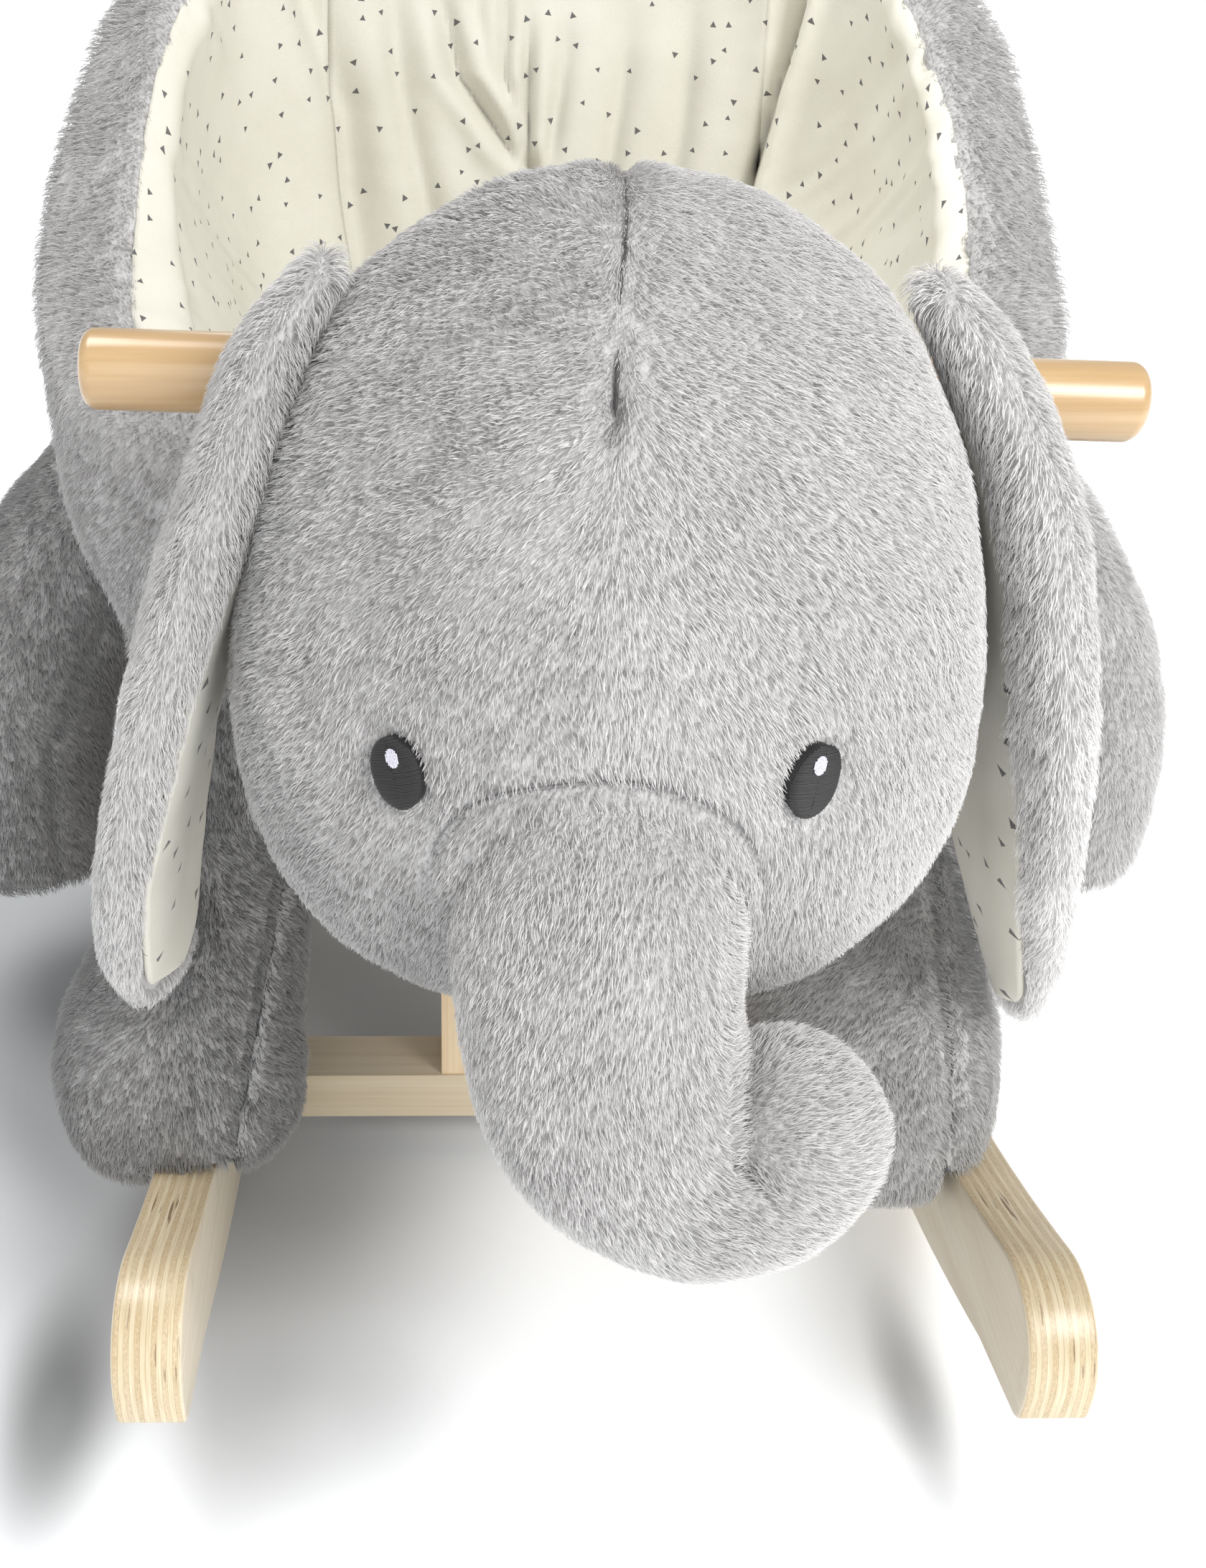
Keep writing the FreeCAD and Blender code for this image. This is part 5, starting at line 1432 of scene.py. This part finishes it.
# ================================================================== eyes
def build_eye(word, ex, ey, ez, sg):
    cen0 = np.array([HX, HY + 4, HZ])
    tilt = math.radians(11) * sg
    a, b = 6.4, 10.2

    def on_head(u, w, lift):
        x = ex + u * math.cos(tilt) - w * math.sin(tilt)
        z = ez + u * math.sin(tilt) + w * math.cos(tilt)
        x, z = np.atleast_1d(x), np.atleast_1d(z)
        lo, hi = np.full(x.shape, -340.0), np.full(x.shape, -240.0)
        for _ in range(30):
            mid = (lo + hi) / 2
            ins = head_F(np.stack([x, mid, z], 1)) < 0
            hi = np.where(ins, mid, hi)
            lo = np.where(ins, lo, mid)
        p = np.stack([x, hi, z], 1)
        nrm = unit(p - cen0)
        dep = head_detail(p)
        return p + nrm * (dep + lift)[:, None]

    # padded ground of the embroidery
    nr, nt = 14, 48
    verts, faces = [], []
    for k in range(nr):
        q = 1.0 - k / (nr - 1) * 0.999
        th = np.linspace(0, 2 * np.pi, nt, endpoint=False)
        lift = 3.1 + 1.7 * math.sqrt(max(1 - q ** 2, 0))
        verts.append(on_head(a * q * np.cos(th), b * q * np.sin(th), np.full(nt, lift)))
    skirt = on_head(a * 1.02 * np.cos(th), b * 1.02 * np.sin(th), np.full(nt, -2.0))
    V = np.concatenate([skirt] + verts)
    faces = grid_faces(nr + 1, nt, True)
    faces.append(tuple(range((nr) * nt, (nr + 1) * nt)))
    faces.append(tuple(reversed(range(nt))))
    ob = make_object("eye_pad_" + word, V, faces, THREAD_DARK)
    outward(ob)
    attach(ob, "root")
    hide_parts("eye_" + word)
    # satin stitches, laid in two slanted runs that meet in the middle
    cu = bpy.data.curves.new("eye_stitches_" + word, "CURVE")
    cu.dimensions = "3D"
    cu.bevel_depth = 0.26 * MM
    cu.bevel_resolution = 1
    cu.resolution_u = 2
    cw = bpy.data.curves.new("eye_glint_" + word, "CURVE")
    cw.dimensions = "3D"
    cw.bevel_depth = 0.24 * MM
    cw.bevel_resolution = 1
    cw.resolution_u = 2
    rng = np.random.RandomState(61 + sg)

    def stitch(curve, pts):
        sp = curve.splines.new("POLY")
        sp.points.add(len(pts) - 1)
        sp.points.foreach_set("co", np.concatenate([pts * MM, np.ones((len(pts), 1))], 1).astype(np.float32).ravel())

    gu, gw, ga, gb = 0.9 * sg, 5.0, 1.6, 2.6
    step = 0.42
    for w in np.arange(-b + 0.25, b, step):
        half = a * math.sqrt(max(1 - (w / b) ** 2, 0))
        if half < 0.5:
            continue
        for s in (-1, 1):
            u = np.linspace(0.0, 1.0, 9) * half * s + rng.uniform(-0.12, 0.12)
            ww = w + 0.16 * s * np.abs(u) + rng.uniform(-0.05, 0.05)
            q = np.clip((u / a) ** 2 + (ww / b) ** 2, 0, 1)
            lift = 3.15 + 1.75 * np.sqrt(1 - q)
            stitch(cu, on_head(u, np.clip(ww, -b, b), lift))
    for u0 in np.arange(-ga + 0.15, ga, 0.40):
        half = gb * math.sqrt(max(1 - (u0 / ga) ** 2, 0))
        w = gw + np.linspace(-1, 1, 7) * half
        u = gu + u0 + 0 * w
        q = np.clip((u / a) ** 2 + (w / b) ** 2, 0, 1)
        stitch(cw, on_head(u, w, 3.55 + 1.75 * np.sqrt(1 - q)))
    for cdata, mat in ((cu, THREAD_DARK), (cw, THREAD_WHITE)):
        cdata.materials.append(mat)
        o = bpy.data.objects.new(cdata.name, cdata)
        scene.collection.objects.link(o)
        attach(o, "root")


for word, (ex, ey, ez, sg) in zip(("right", "left"), EYES):
    build_eye(word, ex, ey, ez, sg)


# ================================================================== ears
EARS = {
    -1: np.array([(432, 82, -217, -187, 0.40), (414, 96, -231, -185, 0.75), (388, 107, -246, -184, 0.95), (350, 122, -258, -184, 1.0), (318, 134, -264, -172, 1.0),
                  (282, 145, -262, -148, 1.0), (248, 154, -255, -140, 1.0), (218, 159, -244, -144, 1.0), (192, 162, -230, -154, 0.90), (172, 162, -216, -168, 0.66)], float),
    1: np.array([(426, 90, -217, -187, 0.50), (410, 103, -231, -185, 0.80), (386, 116, -246, -184, 0.98), (350, 127, -258, -184, 1.0), (318, 134, -264, -172, 1.0),
                 (282, 142, -262, -148, 1.0), (248, 149, -252, -140, 1.0), (215, 158, -239, -144, 1.0), (183, 167, -223, -156, 0.82), (156, 173, -208, -174, 0.56)], float),
}
EAR_T = 21.0


def ear_inset(z, side):
    """How far the fur is turned over the flap's edge before the cotton begins."""
    v = [2.5, 4.0, 8.0, 14.0, 22.0, 24.0] if side > 0 else [2.5, 3.0, 5.5, 8.0, 10.0, 14.0]
    return np.interp(z, [158, 178, 215, 258, 290, 400], v)


def ear_swing(z, side):
    """How far the rear edge leans in towards the head."""
    return (10.0 if side < 0 else 3.0) * smooth(355, 285, z)


def build_ear(word, side):
    EAR = EARS[side]
    t = np.concatenate([[0], np.cumsum(np.hypot(np.diff(EAR[:, 0]), np.diff(EAR[:, 1])))])
    f = spline(t, EAR)
    nv, nu = 104, 72
    ts = np.linspace(0, t[-1], nv)
    E = f(ts)
    th = np.linspace(0, 2 * np.pi, nu, endpoint=False)
    tang = unit(np.gradient(E[:, [1, 0]], axis=0))
    rows = []
    for k in range(nv):
        z, x, yf, yr, fr = E[k]
        cy, bb = (yf + yr) / 2, (yr - yf) / 2 - 2.5
        tk = EAR_T * fr / 2
        # across the flap: normal to its run in the XZ plane
        nx, nz = -tang[k, 1], tang[k, 0]
        if nx < 0:
            nx, nz = -nx, -nz
        c = np.sign(np.cos(th)) * np.abs(np.cos(th)) ** 0.75
        s = np.sin(th)
        px = x + c * tk * nx
        pz = z + c * tk * nz
        px = px - ear_swing(z, side) * (bb * s + bb) / (2 * bb)
        rows.append(np.stack([side * px + HX, cy + bb * s, pz], 1))
    rows = np.array(rows)
    # round the lower tip
    n = 12
    tip = []
    for k in range(1, n + 1):
        bq = (math.pi / 2) * k / n
        sc = math.cos(bq) ** 0.7
        base = rows[-1]
        cen = base.mean(0)
        d = np.array([side * tang[-1, 0], 0, tang[-1, 1]])
        tip.append(cen + (base - cen) * max(sc, 0.001) + d * 9.0 * math.sin(bq))
    topn = []
    for k in range(1, 7):
        bq = (math.pi / 2) * k / 6
        sc = math.cos(bq) ** 0.7
        base = rows[0]
        cen = base.mean(0)
        d = -np.array([side * tang[0, 0], 0, tang[0, 1]])
        topn.insert(0, cen + (base - cen) * max(sc, 0.001) + d * 3.0 * math.sin(bq))
    rows = np.concatenate([np.array(topn), rows, np.array(tip)])
    ob = rows_mesh("ear_fur_" + word, rows, FUR_SKIN)
    co, no = coords(ob), normals(ob)
    set_coords(ob, co + no * (vnoise(co, 38, 33 + side) * 1.2)[:, None])
    # the cotton face towards the head
    inner_rows, uv = [], []
    m = 34
    fz = f(np.linspace(t[-1] * 0.10, t[-1] * 1.012, 80))
    tg = unit(np.gradient(fz[:, [1, 0]], axis=0))
    for k in range(80):
        z, x, yf, yr, fr = fz[k]
        e = min(k / 10.0, (79 - k) / 5.0, 1.0)
        shrink = math.sqrt(max(1 - (1 - e) ** 2, 0.02))
        cy, bb = (yf + yr) / 2, ((yr - yf) / 2 - ear_inset(z, side)) * shrink
        nx, nz = -tg[k, 1], tg[k, 0]
        if nx < 0:
            nx, nz = -nx, -nz
        q = np.linspace(-1, 1, m)
        out = EAR_T * fr / 2 + 2.2 - 3.6 * np.abs(q) ** 4
        y = cy + bb * q
        px, pz = x - nx * out - ear_swing(z, side) * (y - yf) / (yr - yf), z - nz * out
        inner_rows.append(np.stack([side * px + HX, y, pz + 0 * y], 1))
        uv.append(np.stack([y * 0.45 + 500, np.full(m, t[-1] * (0.1 + 0.912 * k / 79)) * 0.84 + 300 * side + 600], 1))
    V = np.array(inner_rows)
    fl = V.reshape(-1, 3)
    lo = make_object("ear_lining_face_" + word, fl, grid_faces(80, m, False), COTTON)
    lay = lo.data.uv_layers.new(name="mmUV")
    li = np.empty(len(lo.data.loops), dtype=np.int64)
    lo.data.loops.foreach_get("vertex_index", li)
    UV = np.array(uv).reshape(-1, 2) * MM
    lay.data.foreach_set("uv", UV[li].ravel())
    if (normals(lo)[:, 0] * side).mean() > 0:
        lo.data.flip_normals()
    co, no = coords(lo), normals(lo)
    set_coords(lo, co + no * (vnoise(co, 30, 43 + side) * 0.9 + vnoise(co, 13, 44) * 0.4)[:, None])
    solidify(lo, 2.0)
    return ob, lo


def ear_nap(p, m):
    return np.stack([0 * p[:, 0], -0.15 + 0 * p[:, 0], -1.0 + 0 * p[:, 0]], 1)


for word, side in (("right", -1), ("left", 1)):
    ear, lin = build_ear(word, side)

    def ear_mask(p, side=side, EAR=EARS[side]):
        """No strands on the cotton face."""
        x = (p[:, 0] - HX) * side
        t = np.interp(-p[:, 2], -EAR[:, 0], EAR[:, 1])
        yf = np.interp(-p[:, 2], -EAR[:, 0], EAR[:, 2])
        yr = np.interp(-p[:, 2], -EAR[:, 0], EAR[:, 3])
        inside = x < t - 3.0 - ear_swing(p[:, 2], side) * (p[:, 1] - yf) / (yr - yf)
        cy, bb = (yf + yr) / 2, (yr - yf) / 2 - ear_inset(p[:, 2], side) - 0.5
        in_y = np.abs(p[:, 1] - cy) < bb
        in_z = (p[:, 2] < 416) & (p[:, 2] > EAR[-1, 0] + 2)
        return np.where(inside & in_y & in_z, 0.0, 1.0)

    # painted light and shade: the left ear's strands are painted lighter, most on the inner flank beside the head, the
    # right ear's a little darker
    pile("pile_ear_" + word, ear, "ear_" + word, 1.08, 5.4, ear_nap, 51 + side, 0.48, 0.215, 0.36, 3.0, mask=ear_mask, tone=0.95 if side < 0 else 1.22, rough=0.45,
         shade=lambda p, side=side, EAR=EARS[side]: 1.0 if side < 0 else 1.0 - 0.20 * smooth(1.0, 9.0, (p[:, 0] - HX) * side - np.interp(-p[:, 2], -EAR[:, 0], EAR[:, 1])))
    tufts(ear, 0.8, ear_nap, 4.5, 55 + side, mask=ear_mask)
    for o, rep, sl in ((ear, "ear_cover_" + word, "fur"), (lin, "ear_lining_" + word, "cotton")):
        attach(o, "ear_" + word)
        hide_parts(rep)


# ================================================================== legs
def leg_nap(p, m):
    return np.stack([0 * p[:, 0], 0 * p[:, 0] + 0.1, -1.0 + 0 * p[:, 0]], 1)


def flatten_below(co, z0, k=6.0):
    """Presses what is under z0 into a soft flat sole."""
    z = co[:, 2]
    low = z < z0
    co = co.copy()
    co[low, 2] = z0 - (z0 - z[low]) * 0.18
    return co


def leg_seam(z, cx):
    """Where the seam down the front of a front leg lies, across the leg."""
    return -145 + (z - 64) * 0.225 if cx < 0 else cx + 21 + 0 * z


def front_leg(word, cx, hx):
    fr = 47.5
    p = [(hx, -80, 258), (hx + (cx - hx) * 0.35, -90, 216), (hx + (cx - hx) * 0.75, -114, 162), (cx, -146, 118), (cx, -163, 88), (cx, -167, 76)]
    if cx < 0:
        p[3:] = [(cx + 5, -146, 122), (cx - 0.5, -163, 94), (cx, -168, 77)]
        r = [(37, 37), (38, 39), (40, 41), (43.5, 45), (fr + 2.5, fr + 0.5), (fr + 1, fr)]
    else:
        p[3:] = [(cx, -152, 117), (cx, -176, 86), (cx, -180, 75)]
        r = [(41, 39), (42, 41), (45, 43), (fr + 1, fr), (fr + 1, fr), (fr - 1, fr - 1)]
    rows, cen, dirs = tube_rows(p, r, 80, 84, 0.4, 0.55, 2.15, 0.5)
    ob = rows_mesh("front_leg_fur_" + word, rows, FUR_SKIN)
    co = coords(ob)
    # the sole sits on the rail
    top = np.array([rail_top(float(y)) for y in np.clip(co[:, 1], -290, 290)])
    rail = 160.0 * (1 if cx > 0 else -1)
    over = np.abs(co[:, 0] - rail) < 16
    z = co[:, 2].copy()
    low = 66.0 if cx < 0 else 55.0
    sole = low + np.where(over, np.maximum(top + 1.5 - low, 0), 0)
    z = np.where(z < sole, sole - np.where(over, 0, (sole - z) * 0.2), z)
    co[:, 2] = z
    set_coords(ob, co)
    co, no = coords(ob), normals(ob)
    h = vnoise(co, 44, 71) * 1.8 + vnoise(co, 22, 72) * 0.6
    # the seam down the inner front
    s = 1 if cx > 0 else -1
    seam = co[:, 0] - leg_seam(co[:, 2], cx)
    front = co[:, 1] < np.interp(co[:, 2], [60, 120, 200, 260], [-165, -150, -95, -80])
    h -= np.where(front, 4.0 * np.exp(-(seam / 2.8) ** 2), 0)
    set_coords(ob, co + no * h[:, None])
    return ob, cx, s


def leg_line(word, leg, cx, z0, z1):
    """A dark tube of painted shade along the leg's front seam, laid on the leg as it stands."""
    tree = BVHTree.FromPolygons([tuple(v) for v in coords(leg)], [tuple(f.vertices) for f in leg.data.polygons])
    pts = []
    for z in np.linspace(z0, z1, 30):
        x = float(leg_seam(np.array([z]), cx)[0])
        hit = tree.ray_cast(Vector((x, -500.0, float(z))), Vector((0.0, 1.0, 0.0)))
        if hit[0] is not None:
            q = np.array(hit[0]) / 1.0 + np.array(hit[1]) * 0.9
            pts.append(q + np.array([0.5 * math.sin(z * 0.31) + 0.3 * math.sin(z * 0.83), 0.0, 0.0]))
    e = np.minimum(np.linspace(0, 1, len(pts)), np.linspace(1, 0, len(pts)))
    rad = [float(0.42 * (0.3 + 0.7 * smooth(0, 0.3, v))) for v in e]
    rows, cen, dirs = tube_rows(np.array(pts), [(r, r) for r in rad], 90, 10, 0.6, 0.6)
    ob = rows_mesh("leg_seam_" + word, rows, SEAM_SHADE_LEG)
    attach(ob, "root")


for word, cx, hx in (("right", -166.0, -118.0), ("left", 122.0, 96.0)):
    leg, lcx, s = front_leg(word, cx, hx)
    leg_line(word, leg, lcx, 74.0 if s < 0 else 66.0, 170.0 if s < 0 else 150.0)

    def leg_mask(p, lcx=lcx, s=s):
        g = np.ones(len(p))
        x0 = leg_seam(p[:, 2], lcx)
        front = p[:, 1] < np.interp(p[:, 2], [60, 120, 200, 260], [-165, -150, -95, -80])
        g = np.where(front, 0.35 + 0.65 * smooth(0.8, 4.5, np.abs(p[:, 0] - x0)), g)
        rail = 160.0 * s
        on = (np.abs(p[:, 0] - rail) < 15) & (p[:, 2] < 84) & (p[:, 1] > -205)
        return np.where(on & (p[:, 2] < 70), 0.0, g)

    # the front legs' strands are painted darker as painted shade, the right one most, and darker still beside the front
    # seam
    pile("pile_front_leg_" + word, leg, "root", 0.80, 6.0, leg_nap, 81 + s, 0.48, 0.24, 0.34, 3.0, mask=leg_mask, tone=0.47 if s < 0 else 0.70, rough=0.45,
         shade=lambda p, lcx=lcx: np.where(p[:, 1] < np.interp(p[:, 2], [60, 120, 200, 260], [-165, -150, -95, -80]), 0.50 + 0.50 * smooth(0.5, 4.0, np.abs(p[:, 0] - leg_seam(p[:, 2], lcx))), 1.0))
    tufts(leg, 0.9, leg_nap, 5.0, 85)
    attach(leg, "root")
    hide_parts("front_leg_" + word)

for word, side in (("right", -1), ("left", 1)):
    hr = 40.0
    sh = 6.0 if side < 0 else 0.0
    p = [(PX + side * 160, 50, 298), (PX + side * (197 - sh), 42, 262), (PX + side * (237 - sh), 24, 210), (PX + side * (256 - sh), 6, 158), (PX + side * (259 - sh), -3, 116), (PX + side * (259 - sh), -5, 98)]
    r = [(hr - 5, hr - 2), (hr - 3, hr + 1), (hr, hr + 3), (hr + 1, hr + 4), (hr + 1, hr + 3), (hr, hr + 2)]
    rows, cen, dirs = tube_rows(p, r, 80, 80, 0.4, 0.55, 2.1, 0.5)
    ob = rows_mesh("hind_leg_fur_" + word, rows, FUR_SKIN)
    set_coords(ob, flatten_below(coords(ob), 88.0))
    co, no = coords(ob), normals(ob)
    h = vnoise(co, 44, 91 + side) * 1.6
    seam = co[:, 0] - (PX + side * (np.interp(co[:, 2], [80, 160, 260], [238, 236, 186]) - sh))
    h -= np.where(co[:, 1] < 10, 2.2 * np.exp(-(seam / 2.8) ** 2), 0)
    set_coords(ob, co + no * h[:, None])
    # the right hind leg's strands are painted darker, as painted shade
    pile("pile_hind_leg_" + word, ob, "root", 0.62, 6.0, leg_nap, 95 + side, 0.48, 0.27, 0.34, 3.2, tone=0.53 if side < 0 else 1.0, rough=0.3)
    tufts(ob, 0.9, leg_nap, 5.0, 97)
    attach(ob, "root")
    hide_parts("hind_leg_" + word)

# ================================================================== tail
rows, cen, dirs = tube_rows([(PX, 205, 297), (PX, 215, 283), (PX, 220, 255), (PX, 221, 215), (PX, 220, 190)], [7.0, 8.0, 8.0, 7.5, 8.5], 70, 36, 0.3, 0.9)
tail = rows_mesh("tail_fur", rows, FUR_SKIN)
pile("pile_tail", tail, "tail", 1.3, 6.5, leg_nap, 99, 0.42, 0.22)
tufts(tail, 0.9, leg_nap, 5.0, 99)
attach(tail, "tail")
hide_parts("tail")


# ================================================================== floor and light
# painted shadow pools on the sweep: centre, half sizes, share at full depth, depth
PAINTED_SHADOW_POOLS = ((-0.17, -0.10, 0.18, 0.26, 0.35, 0.50), (-0.30, 0.04, 0.17, 0.22, 0.3, 0.32), (-0.212, -0.272, 0.038, 0.086, 0.15, 0.66),
         (-0.115, -0.275, 0.085, 0.060, 0.2, 0.28), (0.134, -0.264, 0.020, 0.078, 0.1, 0.48))


def floor():
    # a flat round floor that curves up into a wall far behind the object
    prof = [(r, 0.0) for r in (0.4, 0.9, 1.6, 2.4, 3.2, 3.6)]
    prof += [(3.6 + 1.4 * math.sin(a), 1.4 - 1.4 * math.cos(a)) for a in np.linspace(0, math.pi / 2, 14)[1:]]
    prof += [(5.0, z) for z in (1.9, 2.6, 3.4, 4.2)]
    nu = 96
    verts = [(0.0, 0.0, 0.0)] + [(r * math.cos(t), r * math.sin(t), z) for r, z in prof for t in np.linspace(0, 2 * math.pi, nu, endpoint=False)]
    faces = [(0, 1 + k, 1 + (k + 1) % nu) for k in range(nu)]
    for j in range(len(prof) - 1):
        for k in range(nu):
            a, c = 1 + j * nu + k, 1 + j * nu + (k + 1) % nu
            faces.append((a, a + nu, c + nu, c))
    me = bpy.data.meshes.new("floor")
    me.from_pydata(verts, [], faces)
    me.update()
    me.polygons.foreach_set("use_smooth", np.ones(len(me.polygons), bool))
    ob = bpy.data.objects.new("floor", me)
    scene.collection.objects.link(ob)
    m, nt, b = new_mat("PaleFloor")
    m.cycles.emission_sampling = "NONE"
    co = obj_coords(nt)
    n = noise(nt, co, 3.0, 2.0)
    tint = ramp(nt, n.outputs[0], [(0.3, (0.90, 0.925, 0.95)), (0.7, (0.915, 0.94, 0.965))])
    b.inputs["Roughness"].default_value = 0.8
    b.inputs["Specular IOR Level"].default_value = 0.05
    # the sweep glows with painted light away from the object, and painted shadow dims it softly beneath and beside it
    sep = nd(nt, "ShaderNodeSeparateXYZ")
    link(nt, co, sep.inputs[0])

    def radius(cx, cy, rx, ry):
        ex = math_node(nt, "DIVIDE", math_node(nt, "SUBTRACT", sep.outputs[0], cx), rx)
        ey = math_node(nt, "DIVIDE", math_node(nt, "SUBTRACT", sep.outputs[1], cy), ry)
        return math_node(nt, "SQRT", math_node(nt, "ADD", math_node(nt, "MULTIPLY", ex, ex), math_node(nt, "MULTIPLY", ey, ey)))

    # painted shadow: the pools darken the floor's colour and its glow
    dim = None
    for cx, cy, rx, ry, core, amount in PAINTED_SHADOW_POOLS:
        m_r = nd(nt, "ShaderNodeMapRange", interpolation_type="SMOOTHSTEP")
        link(nt, radius(cx, cy, rx, ry), m_r.inputs[0])
        for k, v in ((1, core), (2, 1.0), (3, 1.0 - amount), (4, 1.0)):
            m_r.inputs[k].default_value = v
        dim = m_r.outputs[0] if dim is None else math_node(nt, "MULTIPLY", dim, m_r.outputs[0])
    glow = ramp(nt, math_node(nt, "MULTIPLY", radius(-0.12, 0.04, 0.26, 0.26), 0.1), [(0.08, (0, 0, 0)), (0.125, (0.24, 0.24, 0.24)), (0.19, (0.29, 0.29, 0.29)), (0.45, (0.57, 0.57, 0.57)), (0.85, (1, 1, 1))])
    rise = nd(nt, "ShaderNodeMapRange", interpolation_type="SMOOTHSTEP")
    link(nt, sep.outputs[2], rise.inputs[0])
    for k, v in ((1, 0.02), (2, 1.5), (3, 1.0), (4, 0.2)):
        rise.inputs[k].default_value = v
    dim = math_node(nt, "MULTIPLY", dim, rise.outputs[0])
    link(nt, mix_col(nt, 1.0, tint, dim, "MULTIPLY"), b.inputs["Base Color"])
    link(nt, mix_col(nt, 1.0, glow, dim, "MULTIPLY"), b.inputs["Emission Color"])
    b.inputs["Emission Strength"].default_value = 1.12
    me.materials.append(m)
    # the wall only glows, from white at the floor to grey above
    w = bpy.data.materials.new("PaleWall")
    w.use_nodes = True
    wt = w.node_tree
    for n in list(wt.nodes):
        wt.nodes.remove(n)
    out = nd(wt, "ShaderNodeOutputMaterial")
    em = nd(wt, "ShaderNodeEmission")
    link(wt, em.outputs[0], out.inputs[0])
    wz = nd(wt, "ShaderNodeSeparateXYZ")
    link(wt, obj_coords(wt), wz.inputs[0])
    up = nd(wt, "ShaderNodeMapRange", interpolation_type="SMOOTHSTEP")
    link(wt, wz.outputs[2], up.inputs[0])
    for k, v in ((1, 0.02), (2, 1.5), (3, 1.0), (4, 0.0)):
        up.inputs[k].default_value = v
    link(wt, ramp(wt, up.outputs[0], [(0.0, (0.35, 0.353, 0.36)), (1.0, (1.16, 1.165, 1.17))]), em.inputs["Color"])
    em.inputs["Strength"].default_value = 1.0
    w.cycles.emission_sampling = "NONE"
    me.materials.append(w)
    for f in me.polygons:
        f.material_index = 1 if f.center[2] > 0.001 else 0


floor()
world = bpy.data.worlds.new("World")
scene.world = world
world.use_nodes = True
bg = world.node_tree.nodes["Background"]
bg.inputs[0].default_value = (0.975, 0.985, 1.0, 1)
bg.inputs[1].default_value = 0.18


def area(name, loc, target, size, power, col=(1, 1, 1)):
    d = bpy.data.lights.new(name, "AREA")
    d.shape = "DISK"
    d.size = size
    d.energy = power
    d.color = col
    o = bpy.data.objects.new(name, d)
    o.location = loc
    v = Vector(target) - Vector(loc)
    o.rotation_euler = v.to_track_quat("-Z", "Y").to_euler()
    scene.collection.objects.link(o)


area("Key", (0.95, -1.28, 1.58), (0, -0.12, 0.25), 0.95, 30.5, (1.0, 0.995, 0.985))
area("Front", (-0.12, -2.0, 1.15), (0, -0.1, 0.3), 1.4, 8.3, (1.0, 0.997, 0.99))
area("Rear", (-0.70, 0.20, 1.95), (0.1, 0.05, 0.3), 0.9, 17.0, (1.0, 0.997, 0.99))
area("Back", (0.30, 2.40, 1.30), (0, 0.05, 0.25), 1.6, 17.0, (0.99, 0.995, 1.0))

print("strands", sum(n for _, n in STRANDS), STRANDS)
